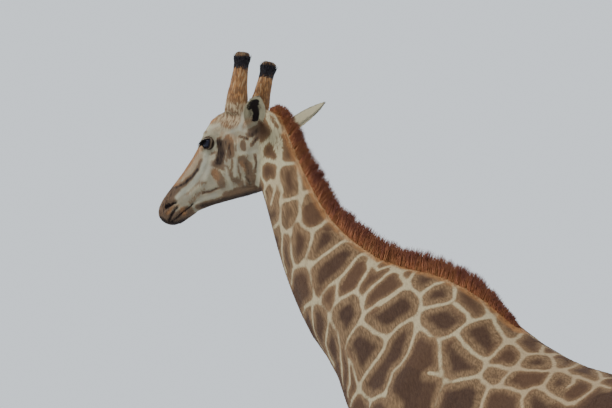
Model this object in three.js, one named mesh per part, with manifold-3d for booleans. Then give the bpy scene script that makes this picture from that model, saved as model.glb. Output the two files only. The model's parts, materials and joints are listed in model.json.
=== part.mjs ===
// A life-size southern giraffe, standing on its four feet and looking a little to its left.
// Millimetres, +Z up. The animal faces -X and its left side faces -Y. The origin is on the
// ground, at the middle of the model's bounding box.
//
// The flesh is lofted whole, from rows of cross-sections, and parted by thin flat cuts into the
// pieces that a person would name. Hooves, eyes, mane and tail hair are pieces of their own.
import * as THREE from "three";
import { mergeVertices } from "three/addons/utils/BufferGeometryUtils.js";
import Module from "manifold-3d";

const wasm = await Module();
wasm.setup();

// ---- Driving sizes ----
const GAP = 0.3; // between touching pieces
const LEFT = -1; // the side that faces -Y
const RIGHT = 1;

const POLL = new THREE.Vector3(-1170, 0, 3730); // top of the nape, where head and mane meet
const HEAD_TURN = THREE.MathUtils.degToRad(18); // towards the animal's left
const HEAD_DROP = THREE.MathUtils.degToRad(33); // poll to upper lip, below the horizontal
const HEAD_LENGTH = 660;

const HOOF_HEIGHT = 100;
const FORE_FOOT = { x: -330, y: 195, step: 45 }; // step: how far the left foot is ahead
const HIND_FOOT = { x: 1000, y: 205, step: -70 };

// Rows of cross-sections: the section's top point, its bottom point, its half width, and how
// much narrower than its foot its crown is. Points are along, up.
const TRUNK = [
  [-606, 2380, -602, 2300, 40, 0.0],
  [-588, 2480, -580, 2200, 105, 0.05],
  [-540, 2640, -530, 2060, 170, 0.15],
  [-470, 2830, -462, 1945, 215, 0.3],
  [-385, 2990, -385, 1850, 250, 0.45],
  [-280, 2970, -280, 1790, 276, 0.5],
  [-150, 2912, -150, 1752, 298, 0.48],
  [-20, 2834, -20, 1735, 318, 0.42],
  [110, 2732, 110, 1728, 335, 0.35],
  [250, 2642, 250, 1730, 350, 0.27],
  [420, 2562, 420, 1745, 360, 0.2],
  [600, 2506, 600, 1772, 360, 0.15],
  [780, 2466, 780, 1812, 350, 0.13],
  [940, 2444, 940, 1862, 332, 0.14],
  [1070, 2412, 1070, 1925, 300, 0.16],
  [1165, 2352, 1170, 1985, 255, 0.16],
  [1232, 2270, 1238, 2040, 185, 0.12],
  [1262, 2205, 1264, 2110, 85, 0.0],
];
const NECK = [
  [-1142, 3700, -1324, 3590, 60, 0.1],
  [-1092, 3612, -1284, 3480, 72, 0.12],
  [-1033, 3505, -1228, 3375, 80, 0.12],
  [-946, 3376, -1175, 3236, 85, 0.12],
  [-860, 3267, -1116, 3096, 92, 0.12],
  [-736, 3164, -1042, 2955, 103, 0.14],
  [-570, 3062, -938, 2806, 122, 0.18],
  [-400, 3003, -776, 2640, 150, 0.24],
  [-262, 2957, -655, 2440, 182, 0.3],
  [-140, 2870, -520, 2280, 205, 0.35],
];
// The same for the head, in its own frame: forward of the poll, above the line from poll to lip.
const HEAD = [
  [10, -25, -110, 55, 0.0],
  [50, 40, -165, 82, 0.05],
  [105, 92, -206, 96, 0.1],
  [155, 126, -224, 101, 0.12],
  [205, 150, -228, 102, 0.16],
  [250, 152, -216, 101, 0.2],
  [290, 141, -199, 96, 0.22],
  [330, 124, -180, 84, 0.22],
  [370, 105, -161, 70, 0.2],
  [420, 88, -137, 59, 0.14],
  [470, 75, -116, 51, 0.08],
  [520, 64, -99, 47, 0.04],
  [565, 54, -92, 48, 0.0],
  [605, 42, -86, 52, -0.04],
  [632, 27, -75, 50, -0.04],
  [650, 10, -60, 41, 0.0],
  [659, -10, -44, 22, 0.0],
];
// Legs are horizontal sections: height, along, out from the midline, half length, half width.
// Along and out are measured from the foot.
const FORELEG = [
  [2420, -60, -60, 90, 60],
  [2300, -75, -30, 150, 84],
  [2130, -80, 5, 180, 98],
  [1960, -50, 12, 175, 100],
  [1820, -12, 8, 150, 94],
  [1680, 4, 0, 112, 80],
  [1480, 8, -6, 88, 68],
  [1280, 6, -8, 73, 59],
  [1090, 2, -8, 64, 54],
  [1000, -4, -8, 67, 62],
  [915, -8, -8, 72, 67],
  [830, 0, -8, 62, 58],
  [730, 8, -7, 51, 46],
  [520, 12, -5, 46, 42],
  [345, 14, -2, 48, 44],
  [262, 14, 0, 58, 55],
  [195, 4, 0, 53, 51],
  [140, -10, 0, 60, 58],
  [HOOF_HEIGHT, -18, 0, 70, 66],
];
const HINDLEG = [
  [2330, 10, -70, 120, 70],
  [2200, 0, -35, 200, 100],
  [2050, -20, -10, 235, 116],
  [1900, -48, 0, 232, 116],
  [1760, -68, 0, 200, 106],
  [1600, -58, -5, 155, 92],
  [1440, -28, -10, 116, 76],
  [1290, 8, -14, 92, 62],
  [1160, 40, -15, 82, 54],
  [1060, 60, -14, 86, 56],
  [970, 56, -12, 76, 56],
  [870, 38, -10, 58, 47],
  [650, 26, -7, 47, 41],
  [420, 20, -3, 47, 42],
  [300, 16, 0, 57, 53],
  [225, 2, 0, 52, 50],
  [150, -18, 0, 59, 57],
  [HOOF_HEIGHT, -28, 0, 70, 65],
];

const EYE = { forward: 287, up: 38, out: 99, radius: 23.5 };
const BROW = { forward: 281, up: 50, out: 82, reach: [58, 36, 31] };
const OSSICONE = { foot: [143, 70, 72], tip: [-28, 241, 95], cut: 0.3 }; // forward, up, out
const OSSICONE_ROWS = [
  // share of the way from foot to tip, radius along the head, radius across it
  [0, 58, 50],
  [0.12, 54, 46],
  [0.24, 48, 41],
  [0.36, 41.5, 36.5],
  [0.5, 36.5, 33.5],
  [0.64, 33.5, 31.5],
  [0.76, 31.5, 30.5],
  [0.83, 33.5, 33],
  [0.9, 34, 34],
  [0.965, 31, 31],
  [1, 19, 19],
];
const EAR = {
  length: 236,
  halfWidth: 47,
  depth: 36,
  wall: 8,
  rim: 4,
};
// How each ear is held: its root, where it points and where its mouth opens.
const EAR_LEFT = { root: [106, -34, 90], aim: [-0.67, -0.07, 0.74], openTo: [-0.3, -0.5, 0.81] };
const EAR_RIGHT = { root: [104, -45, 92], aim: [-0.85, 0.21, 0.48], openTo: [0.38, -0.46, 0.81] };
// The mane's crest line, its height above the crest and its half thickness at the root.
const MANE = [
  [-1222, 3736, 6, 9],
  [-1186, 3732, 18, 12],
  [-1142, 3700, 40, 14],
  [-1092, 3612, 58, 15],
  [-1033, 3505, 66, 15],
  [-946, 3376, 67, 16],
  [-860, 3267, 69, 16],
  [-736, 3164, 72, 17],
  [-570, 3062, 75, 17],
  [-400, 3003, 78, 17],
  [-262, 2957, 77, 17],
  [-140, 2904, 68, 16],
  [-40, 2846, 51, 15],
  [50, 2780, 28, 13],
  [122, 2720, 7, 10],
];
const MANE_ROOT = 24; // depth of its root inside the neck
const HOOF = { halfLength: 120, halfWidth: 88, ahead: -44, cleft: 9, notch: 14 };
const TAIL = [
  // height, along, radius
  [2300, 1215, 34],
  [2262, 1262, 36],
  [2200, 1296, 33],
  [2100, 1318, 27],
  [1950, 1330, 22],
  [1780, 1334, 19],
  [1600, 1336, 17],
];
const TAIL_TUFT = [
  [1600 - GAP, 1336, 20],
  [1520, 1338, 33],
  [1380, 1341, 44],
  [1230, 1343, 50],
  [1090, 1344, 44],
  [990, 1344, 28],
  [920, 1344, 6],
];

// Cuts between the parts: outlines are seen from the side, as along, up.
const FORE_CUT = [
  [-640, -10],
  [-100, -10],
  [-190, 1700],
  [-190, 1790],
  [-300, 1905],
  [-480, 1960],
  [-640, 1900],
];
const HIND_CUT = [
  [640, -10],
  [1500, -10],
  [1500, 1700],
  [1290, 2000],
  [1180, 2090],
  [900, 1970],
  [740, 1830],
  [690, 1700],
];
const TAIL_CUT = [
  [1256, 2340],
  [1420, 2340],
  [1420, 1560],
  [1272, 1560],
  [1272, 2140],
  [1262, 2200],
];
const NECK_CUT = {
  point: new THREE.Vector3(-412, 0, 3000),
  ahead: new THREE.Vector3(-0.88, 0, 0.475).normalize(),
};

// ---- Making solids ----
// Smoothly interpolated row at t, 0 to 1, of a table of rows.
function rowAt(rows, t) {
  const last = rows.length - 1;
  const place = THREE.MathUtils.clamp(t, 0, 1) * last;
  const i = Math.min(Math.floor(place), last - 1);
  const u = place - i;
  const pick = (k) => rows[THREE.MathUtils.clamp(k, 0, last)];
  const [a, b, c, d] = [pick(i - 1), pick(i), pick(i + 1), pick(i + 2)];
  return b.map((_, k) => {
    const slopeIn = (c[k] - a[k]) / 2;
    const slopeOut = (d[k] - b[k]) / 2;
    const bend = 3 * (c[k] - b[k]) - 2 * slopeIn - slopeOut;
    const turn = 2 * (b[k] - c[k]) + slopeIn + slopeOut;
    return b[k] + u * (slopeIn + u * (bend + u * turn));
  });
}

function solidOf(geometry) {
  const bare = geometry.clone();
  bare.deleteAttribute("normal");
  bare.deleteAttribute("uv");
  const merged = mergeVertices(bare, 1e-3);
  const { position } = merged.attributes;
  const make = (triVerts) =>
    new wasm.Manifold(
      new wasm.Mesh({ numProp: 3, vertProperties: position.array, triVerts }),
    );
  const triVerts = new Uint32Array(merged.index.array);
  const solid = make(triVerts);
  return solid.volume() > 0 ? solid : make(triVerts.reverse());
}

function geometryOf(solid, tolerance) {
  const { vertProperties, triVerts } = solid.simplify(tolerance).getMesh();
  return new THREE.BufferGeometry()
    .setAttribute("position", new THREE.BufferAttribute(vertProperties, 3))
    .setIndex(new THREE.BufferAttribute(triVerts, 1));
}

// A closed tube: pointAt(t, angle, reach) gives the surface at reach 1 and the core at reach 0.
function tube(sides, rings, pointAt) {
  const geometry = new THREE.CylinderGeometry(1, 1, 1, sides, rings);
  const { position } = geometry.attributes;
  for (let i = 0; i < position.count; i++) {
    const [x, y, z] = [position.getX(i), position.getY(i), position.getZ(i)];
    const point = pointAt(0.5 - y, Math.atan2(x, z), Math.hypot(x, z));
    position.setXYZ(i, point.x, point.y, point.z);
  }
  return solidOf(geometry);
}

// Sections that stand across the body, from rows of top, bottom, half width and crown.
function bodyLoft(rows, sides, rings) {
  return tube(sides, rings, (t, angle, reach) => {
    const [topX, topZ, footX, footZ, halfWidth, crown] = rowAt(rows, t);
    const rise = (1 + reach * Math.cos(angle)) / 2;
    const out = halfWidth * reach * Math.sin(angle) * (1 - crown * Math.cos(angle));
    const along = THREE.MathUtils.lerp(footX, topX, rise);
    return new THREE.Vector3(along, out, THREE.MathUtils.lerp(footZ, topZ, rise));
  });
}

// Level sections that make a leg; the left foot stands ahead by its step.
function legLoft(rows, side, foot) {
  const hip = rows[0][0];
  return tube(12, 22, (t, angle, reach) => {
    const [height, along, out, halfLength, halfWidth] = rowAt(rows, t);
    const step = side === LEFT ? -foot.step * (1 - height / hip) : 0;
    const x = foot.x + along + step - halfLength * reach * Math.cos(angle);
    const y = side * (foot.y + out) + halfWidth * reach * Math.sin(angle);
    return new THREE.Vector3(x, y, height);
  });
}

// A round tapering rod through rows of height, along, radius: the tail and its tuft.
function hangingRod(rows, sides, rings) {
  return tube(sides, rings, (t, angle, reach) => {
    const [height, along, radius] = rowAt(rows, t);
    const x = along + radius * reach * Math.cos(angle);
    return new THREE.Vector3(x, radius * reach * Math.sin(angle), height);
  });
}

// A half of space as a large box whose near face lies at distance `past` beyond the point.
const HUGE = 6000;
function halfSpace(point, normal, past) {
  const box = new THREE.BoxGeometry(HUGE, HUGE, HUGE);
  const turn = new THREE.Quaternion().setFromUnitVectors(new THREE.Vector3(0, 0, 1), normal);
  box.applyQuaternion(turn);
  const shift = normal.clone().multiplyScalar(HUGE / 2 + past).add(point);
  box.translate(shift.x, shift.y, shift.z);
  return solidOf(box);
}

// Parts a solid by a flat cut with GAP left open: the piece ahead of the plane, then the rest.
function part(solid, point, normal) {
  const ahead = solid.intersect(halfSpace(point, normal, GAP / 2));
  const rest = solid.subtract(halfSpace(point, normal, -GAP / 2));
  return [largest(ahead), rest];
}

function largest(solid) {
  return solid.decompose().sort((a, b) => b.volume() - a.volume())[0];
}

// ---- The head's own frame ----
const headFrame = new THREE.Object3D();
headFrame.position.copy(POLL);
headFrame.rotation.set(0, -HEAD_DROP, HEAD_TURN, "ZYX");
headFrame.updateMatrixWorld();

// A point of the head: forward of the poll, up, and out to a side.
function onHead([forward, up, out], side = LEFT) {
  return new THREE.Vector3(-forward, side * out, up).applyMatrix4(headFrame.matrixWorld);
}

function headDirection([forward, up, out], side = LEFT) {
  return new THREE.Vector3(-forward, side * out, up).transformDirection(headFrame.matrixWorld);
}

function headLoft() {
  const scale = HEAD_LENGTH / 660;
  return tube(20, 22, (t, angle, reach) => {
    const [forward, top, foot, halfWidth, crown] = rowAt(HEAD, t);
    const up = (top + foot) / 2 + (reach * Math.cos(angle) * (top - foot)) / 2;
    const out = halfWidth * reach * Math.sin(angle) * (1 + crown * Math.cos(angle));
    return onHead([forward * scale, up * scale, out * scale]);
  });
}

function ellipsoid(centre, reach, side) {
  const ball = new THREE.SphereGeometry(1, 12, 7);
  const { position } = ball.attributes;
  for (let i = 0; i < position.count; i++) {
    const p = onHead(
      [
        centre[0] + reach[0] * position.getX(i),
        centre[1] + reach[1] * position.getY(i),
        centre[2] + reach[2] * position.getZ(i),
      ],
      side,
    );
    position.setXYZ(i, p.x, p.y, p.z);
  }
  return solidOf(ball);
}

// Two directions square to an axis.
function squareTo(axis, towards) {
  const across = new THREE.Vector3().crossVectors(axis, towards).normalize();
  return [new THREE.Vector3().crossVectors(across, axis).normalize(), across];
}

function ossicone(side) {
  const foot = onHead(OSSICONE.foot, side);
  const tip = onHead(OSSICONE.tip, side);
  const axis = new THREE.Vector3().subVectors(tip, foot).normalize();
  const [forward, across] = squareTo(axis, headDirection([1, 0, 0], side));
  return tube(12, 11, (t, angle, reach) => {
    const [share, halfLength, halfWidth] = rowAt(OSSICONE_ROWS, t);
    return new THREE.Vector3()
      .lerpVectors(foot, tip, share)
      .addScaledVector(forward, halfLength * reach * Math.cos(angle))
      .addScaledVector(across, halfWidth * reach * Math.sin(angle));
  });
}

// The cut between head and neck runs from behind the poll to the throat.
function headCut() {
  const across = new THREE.Vector3(-100, 0, -335);
  const ahead = new THREE.Vector3(across.z, 0, -across.x).normalize();
  return [new THREE.Vector3(-1128, 0, 3705), ahead];
}

// A cupped leaf: narrow and closed at its root, widest below the middle, pointed at the tip.
function ear(side, turn) {
  const root = onHead(turn.root, side);
  const axis = headDirection(turn.aim, side);
  const [open, across] = squareTo(axis, headDirection(turn.openTo, side));
  return tube(14, 9, (t, angle, reach) => {
    const leaf = Math.pow(Math.sin(Math.PI * (0.16 + 0.8 * t)), 0.8);
    const cup = EAR.depth * leaf * (1 - 0.55 * t);
    const outer = Math.abs(angle) < Math.PI / 2; // half the section is the back, half the cup
    const sweep = outer ? angle : Math.sign(angle) * (Math.PI - Math.abs(angle));
    const halfWidth = EAR.halfWidth * leaf - (outer ? 0 : EAR.rim);
    const closed = Math.max(0, 1 - t / 0.18);
    const depth = outer ? cup : cup - EAR.wall - 1.2 * cup * closed;
    return new THREE.Vector3()
      .copy(root)
      .addScaledVector(axis, t * EAR.length)
      .addScaledVector(across, halfWidth * Math.sin(sweep) * reach)
      .addScaledVector(open, -depth * Math.cos(sweep) * reach - ((1 - reach) * cup) / 2);
  });
}

// A region of space to cut out: a box that stands on a point and reaches along a direction.
function boxRegion(point, direction, width, length) {
  return (grow) => {
    const box = new THREE.BoxGeometry(width + 2 * grow, width + 2 * grow, length + 2 * grow);
    box.translate(0, 0, length / 2);
    box.applyQuaternion(
      new THREE.Quaternion().setFromUnitVectors(
        new THREE.Vector3(0, 0, 1),
        direction.clone().normalize(),
      ),
    );
    box.translate(point.x, point.y, point.z);
    return solidOf(box);
  };
}

// A region seen from the side as an outline of along, up, and reaching from one lateral
// distance out to another.
function sideRegion(outline, side, inner, outer) {
  return (grow) => {
    const corners = outline.map((p) => new THREE.Vector2(...p));
    const outward = THREE.ShapeUtils.isClockWise(corners) ? -1 : 1;
    const normalOf = (from, to) =>
      new THREE.Vector2(to.y - from.y, from.x - to.x).setLength(outward);
    const points = corners.map((corner, i) => {
      const before = normalOf(corners.at(i - 1), corner);
      const after = normalOf(corner, corners[(i + 1) % corners.length]);
      const reach = grow / (1 + before.dot(after));
      return before.add(after).multiplyScalar(reach).add(corner);
    });
    const depth = outer - inner + 2 * grow;
    const slab = new THREE.ExtrudeGeometry(new THREE.Shape(points), { depth, bevelEnabled: false });
    slab.rotateX(Math.PI / 2); // the outline's up is now +Z and its depth runs to -Y
    slab.translate(0, side === LEFT ? -(inner - grow) : outer + grow, 0);
    return solidOf(slab);
  };
}

// ---- The flesh, whole ----
let flesh = bodyLoft(TRUNK, 22, 22).add(bodyLoft(NECK, 20, 15)).add(headLoft());
for (const side of [LEFT, RIGHT]) {
  flesh = flesh
    .add(legLoft(FORELEG, side, FORE_FOOT))
    .add(legLoft(HINDLEG, side, HIND_FOOT))
    .add(ellipsoid([BROW.forward, BROW.up, BROW.out], BROW.reach, side))
    .add(ossicone(side));
}
flesh = flesh.add(hangingRod(TAIL, 10, 10));
flesh = solidOf(geometryOf(flesh, 1.8)); // clears slivers where the lofts meet

// ---- The parts ----
const pieces = new Map();

// Takes the flesh inside a region out as a named piece, with GAP left around it.
function cutOut(name, region, material) {
  pieces.set(name, [largest(flesh.intersect(region(0))), material]);
  flesh = flesh.subtract(region(GAP));
}

// Sets a piece on the flesh: takes the flesh from it, and a little more in given directions.
function setOn(solid, directions) {
  for (const direction of directions) {
    const gap = direction.clone().setLength(2 * GAP);
    solid = solid.subtract(flesh.translate(gap.x, gap.y, gap.z));
  }
  return largest(solid.subtract(flesh));
}

// The mane stands on the crest, thick at its root and thin at its tips.
function mane() {
  const solid = tube(6, 20, (t, angle, reach) => {
    const step = 0.01;
    const [x, z, height, halfThickness] = rowAt(MANE, t);
    const [beforeX, beforeZ] = rowAt(MANE, t - step);
    const [afterX, afterZ] = rowAt(MANE, t + step);
    const along = new THREE.Vector2(afterX - beforeX, afterZ - beforeZ).normalize();
    const lift = THREE.MathUtils.lerp(-MANE_ROOT, height, (1 + reach * Math.cos(angle)) / 2);
    const y = halfThickness * reach * Math.sin(angle) * (1 - 0.4 * Math.cos(angle));
    return new THREE.Vector3(x - along.y * lift, y, z + along.x * lift);
  });
  return setOn(solid, [new THREE.Vector3(1, 0, 0), new THREE.Vector3(0, 0, 1)]);
}
pieces.set("mane", [mane(), "mane"]);

for (const [name, side, turn] of [
  ["left", LEFT, EAR_LEFT],
  ["right", RIGHT, EAR_RIGHT],
]) {
  const centre = onHead([EYE.forward, EYE.up, EYE.out], side);
  const [eye, socket] = [0, GAP].map((grow) =>
    solidOf(
      new THREE.SphereGeometry(EYE.radius + grow, 12, 9).translate(centre.x, centre.y, centre.z),
    ),
  );
  flesh = flesh.subtract(socket);
  pieces.set("eye_" + name, [eye, "eye"]);

  const outward = [headDirection(turn.aim, side), headDirection([0, 0, 1], side)];
  pieces.set("ear_" + name, [setOn(ear(side, turn), outward), "coat"]);
  const [foot, tip] = [OSSICONE.foot, OSSICONE.tip].map((place) => onHead(place, side));
  const horn = boxRegion(foot.clone().lerp(tip, OSSICONE.cut), tip.clone().sub(foot), 96, 240);
  cutOut("ossicone_" + name, horn, "horn");

  for (const [leg, outline, inner] of [
    ["leg_front_", FORE_CUT, 70],
    ["leg_hind_", HIND_CUT, 45],
  ])
    cutOut(leg + name, sideRegion(outline, side, inner, 600), "coat");
}
cutOut("tail", sideRegion(TAIL_CUT, LEFT, -42, 42), "coat");
pieces.set("tail_tuft", [hangingRod(TAIL_TUFT, 10, 10), "hair"]);

const [head, bodyAndNeck] = part(flesh, ...headCut());
pieces.set("head", [head, "coat"]);
const [neck, trunk] = part(bodyAndNeck, NECK_CUT.point, NECK_CUT.ahead);
pieces.set("neck", [neck, "coat"]);
pieces.set("trunk", [largest(trunk), "coat"]);

// Each foot stands on two hooves with a cleft between them.
function hoof(foot, side, half) {
  const solid = tube(14, 3, (t, angle, reach) => {
    const height = HOOF_HEIGHT - GAP - t * (HOOF_HEIGHT - GAP);
    const spread = t;
    const step = side === LEFT ? -foot.step * (1 - height / 2350) : 0;
    const halfLength = THREE.MathUtils.lerp(68, HOOF.halfLength, spread);
    const halfWidth = THREE.MathUtils.lerp(60, HOOF.halfWidth, spread);
    const ahead = THREE.MathUtils.lerp(-22, HOOF.ahead, spread);
    const round = Math.pow(Math.abs(Math.sin(angle)), 0.8) * Math.sign(Math.sin(angle));
    const notch = Math.cos(angle) > 0 ? HOOF.notch * spread * Math.cos(3 * angle) : 0;
    const x = foot.x + step + ahead - reach * (halfLength * Math.cos(angle) - Math.max(0, notch));
    return new THREE.Vector3(x, side * foot.y + halfWidth * reach * round, height);
  });
  const cleft = new THREE.Vector3(0, half, 0);
  const middle = new THREE.Vector3(0, side * foot.y, 0);
  return solid.intersect(halfSpace(middle, cleft, HOOF.cleft / 2));
}
for (const [place, foot] of [
  ["front", FORE_FOOT],
  ["hind", HIND_FOOT],
])
  for (const [name, side] of [
    ["left", LEFT],
    ["right", RIGHT],
  ])
    for (const [claw, half] of [
      ["outer", side],
      ["inner", -side],
    ])
      pieces.set(["hoof", place, name, claw].join("_"), [hoof(foot, side, half), "hoof"]);

// ---- The model ----
const finishes = {
  coat: new THREE.MeshStandardMaterial({ color: 0x7a6048, roughness: 0.85, metalness: 0 }),
  horn: new THREE.MeshStandardMaterial({ color: 0xa46c3c, roughness: 0.85, metalness: 0 }),
  mane: new THREE.MeshStandardMaterial({ color: 0x8a4a2c, roughness: 0.9, metalness: 0 }),
  hair: new THREE.MeshStandardMaterial({ color: 0x17120f, roughness: 0.8, metalness: 0 }),
  hoof: new THREE.MeshStandardMaterial({ color: 0x2e2722, roughness: 0.6, metalness: 0 }),
  eye: new THREE.MeshStandardMaterial({ color: 0x120d0b, roughness: 0.1, metalness: 0 }),
};

const giraffe = new THREE.Group();
for (const [name, [solid, finish]] of pieces) {
  const mesh = new THREE.Mesh(geometryOf(solid, GAP / 2), finishes[finish]);
  mesh.name = name;
  giraffe.add(mesh);
}
const box = new THREE.Box3().setFromObject(giraffe);
giraffe.position.set(-(box.min.x + box.max.x) / 2, -(box.min.y + box.max.y) / 2, -box.min.z);

export default giraffe;
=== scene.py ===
import json
import math

import bmesh
import bpy
import numpy as np
from mathutils import Matrix, Vector, noise
from mathutils.bvhtree import BVHTree
from mathutils.kdtree import KDTree

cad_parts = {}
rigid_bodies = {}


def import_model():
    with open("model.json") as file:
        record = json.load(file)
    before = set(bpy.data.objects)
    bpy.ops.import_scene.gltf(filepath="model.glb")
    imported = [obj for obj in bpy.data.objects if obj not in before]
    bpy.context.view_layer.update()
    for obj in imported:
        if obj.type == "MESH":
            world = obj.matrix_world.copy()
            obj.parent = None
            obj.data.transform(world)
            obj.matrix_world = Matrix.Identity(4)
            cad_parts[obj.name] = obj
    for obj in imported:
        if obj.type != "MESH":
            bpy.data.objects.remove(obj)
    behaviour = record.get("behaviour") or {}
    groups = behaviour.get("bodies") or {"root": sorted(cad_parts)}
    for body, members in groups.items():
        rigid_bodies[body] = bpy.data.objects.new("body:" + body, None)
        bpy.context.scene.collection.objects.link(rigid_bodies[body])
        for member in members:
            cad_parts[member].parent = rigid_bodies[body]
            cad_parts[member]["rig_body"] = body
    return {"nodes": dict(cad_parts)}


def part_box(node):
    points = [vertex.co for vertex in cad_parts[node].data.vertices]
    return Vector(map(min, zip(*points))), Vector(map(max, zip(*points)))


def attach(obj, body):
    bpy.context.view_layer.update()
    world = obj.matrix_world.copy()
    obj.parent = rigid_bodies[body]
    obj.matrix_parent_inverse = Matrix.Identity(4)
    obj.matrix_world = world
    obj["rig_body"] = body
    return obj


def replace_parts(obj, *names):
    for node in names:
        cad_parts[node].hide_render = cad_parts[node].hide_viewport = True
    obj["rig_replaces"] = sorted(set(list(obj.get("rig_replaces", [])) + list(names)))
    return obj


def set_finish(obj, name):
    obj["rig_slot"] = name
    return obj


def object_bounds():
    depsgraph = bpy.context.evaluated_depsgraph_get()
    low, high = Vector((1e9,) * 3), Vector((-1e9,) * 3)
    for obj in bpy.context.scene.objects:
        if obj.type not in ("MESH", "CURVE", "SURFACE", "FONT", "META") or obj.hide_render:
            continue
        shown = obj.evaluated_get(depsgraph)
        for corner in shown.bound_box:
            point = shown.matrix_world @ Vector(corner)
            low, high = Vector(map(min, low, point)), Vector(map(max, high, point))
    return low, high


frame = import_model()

cad_box = [list(corner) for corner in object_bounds()]

# ---------------------------------------------------------------- view and studio
# The model is seen from behind its left shoulder and from below, through a long
# lens. It stands on a plain pale floor, in the soft light of a studio.

PICTURE_WIDTH = 612
PICTURE_HEIGHT = 408
FOCAL_PIXELS = 2877
VIEW_FROM = Vector((7.247, -6.806, 1.177))
VIEW_RIGHT = Vector((0.6428, 0.7660, 0.0)).normalized()
VIEW_UP = Vector((0.1527, -0.1282, 0.9799)).normalized()
VIEW_AHEAD = VIEW_UP.cross(VIEW_RIGHT).normalized()

camera_data = bpy.data.cameras.new("camera")
camera_data.sensor_width = 36.0
camera_data.lens = 36.0 * FOCAL_PIXELS / PICTURE_WIDTH
camera_data.clip_end = 200.0
camera = bpy.data.objects.new("camera", camera_data)
camera.matrix_world = Matrix.Translation(VIEW_FROM) @ Matrix(
    (VIEW_RIGHT, VIEW_UP, -VIEW_AHEAD)
).transposed().to_4x4()
bpy.context.scene.collection.objects.link(camera)
bpy.context.scene.camera = camera

world = bpy.data.worlds.new("studio")
world.use_nodes = True
world.node_tree.nodes["Background"].inputs["Color"].default_value = (0.78, 0.84, 0.9, 1)
world.node_tree.nodes["Background"].inputs["Strength"].default_value = 1.15
bpy.context.scene.world = world


def soft_light(name, place, aim, size, watts, colour):
    data = bpy.data.lights.new(name, "AREA")
    data.shape = "DISK"
    data.size = size
    data.energy = watts
    data.color = colour
    light = bpy.data.objects.new(name, data)
    light.location = place
    light.rotation_euler = (Vector(aim) - Vector(place)).to_track_quat("-Z", "Y").to_euler()
    bpy.context.scene.collection.objects.link(light)


soft_light("key_light", (1.0, -6.5, 9.5), (-0.4, 0, 2.4), 4.0, 900, (1.0, 0.96, 0.9))
soft_light("side_light", (-7.0, -4.0, 5.0), (-0.4, 0, 2.4), 5.0, 350, (0.95, 0.97, 1.0))
soft_light("far_light", (3.0, 8.0, 6.5), (0, 0, 2.2), 5.0, 420, (0.96, 0.98, 1.0))

bpy.ops.object.select_all(action="DESELECT")
bpy.ops.mesh.primitive_plane_add(size=60, location=(0, 0, -0.0006))
floor = bpy.context.object
floor.name = "floor"
floor_paint = bpy.data.materials.new("floor_paint")
floor_paint.use_nodes = True
floor_shader = floor_paint.node_tree.nodes["Principled BSDF"]
floor_shader.inputs["Base Color"].default_value = (0.72, 0.73, 0.73, 1)
floor_shader.inputs["Roughness"].default_value = 0.8
floor.data.materials.append(floor_paint)
bpy.ops.object.select_all(action="DESELECT")

# ---------------------------------------------------------------- skin
# One closed skin over head, ears, neck, trunk, legs and tail: a short-haired
# hide, drawn tight over the forms. It is finest on the head, and lies inside the
# solids by the depth of the coat.

FLESH = [
    "head", "neck", "trunk", "tail", "ear_left", "ear_right",
    "leg_front_left", "leg_front_right", "leg_hind_left", "leg_hind_right",
]
COAT_DEPTH = 0.003
HEAD_CELL = 0.0050
NECK_CELL = 0.0100
BODY_CELL = 0.018
THROAT_CUT = (Vector((-0.978, 0, 3.440)), Vector((0.469, 0, -0.883)))
BACK_CUT = (Vector((0, 0, 2.40)), Vector((0, 0, -1)))

POLL = Vector((-1.01804, 0, 3.730))
HEAD_AHEAD = Vector((-0.7976, -0.2592, -0.5446)).normalized()
HEAD_LEFT = Vector((0.309, -0.951, 0)).normalized()
HEAD_UP = HEAD_LEFT.cross(HEAD_AHEAD).normalized()
if HEAD_UP.z < 0:
    HEAD_UP.negate()


def copy_of(nodes, name):
    """One mesh out of copies of these nodes, with its doubles merged."""
    bpy.ops.object.select_all(action="DESELECT")
    for node in nodes:
        piece = bpy.data.objects.new(name, frame["nodes"][node].data.copy())
        piece.data.materials.clear()
        bpy.context.scene.collection.objects.link(piece)
        piece.select_set(True)
        bpy.context.view_layer.objects.active = piece
    bpy.ops.object.join()
    piece = bpy.context.object
    piece.name = name
    bpy.ops.object.mode_set(mode="EDIT")
    bpy.ops.mesh.select_all(action="SELECT")
    bpy.ops.mesh.remove_doubles(threshold=0.00002)
    bpy.ops.object.mode_set(mode="OBJECT")
    return piece


def cut(piece, plane, keep_ahead, shift=0.0, fill=False):
    """Cuts the piece by a plane and keeps the side that its normal points to, or the other."""
    point, normal = plane
    point = point + normal * shift
    bpy.ops.object.select_all(action="DESELECT")
    piece.select_set(True)
    bpy.context.view_layer.objects.active = piece
    bpy.ops.object.mode_set(mode="EDIT")
    bpy.ops.mesh.select_all(action="SELECT")
    bpy.ops.mesh.bisect(
        plane_co=point, plane_no=normal, use_fill=fill,
        clear_inner=keep_ahead, clear_outer=not keep_ahead,
    )
    bpy.ops.object.mode_set(mode="OBJECT")


def remeshed(piece, cell, swell):
    swelling = piece.modifiers.new("swelling", "DISPLACE")
    swelling.mid_level = 0
    swelling.strength = swell
    remesh = piece.modifiers.new("remesh", "REMESH")
    remesh.mode = "VOXEL"
    remesh.voxel_size = cell
    remesh.adaptivity = 0
    bpy.context.view_layer.objects.active = piece
    bpy.ops.object.modifier_apply(modifier="swelling")
    bpy.ops.object.modifier_apply(modifier="remesh")
    return piece


def open_loop_near(piece, plane):
    """Selects the open edges of the piece that lie by a plane."""
    point, normal = plane
    bpy.ops.object.mode_set(mode="OBJECT")
    shape = bmesh.new()
    shape.from_mesh(piece.data)
    for face in shape.faces:
        face.select = False
    for edge in shape.edges:
        edge.select = False
    for vert in shape.verts:
        vert.select = False
    for edge in shape.edges:
        if edge.is_boundary and all(abs((v.co - point).dot(normal)) < 0.004 for v in edge.verts):
            edge.select = True
    shape.select_flush_mode()
    shape.to_mesh(piece.data)
    shape.free()


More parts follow.
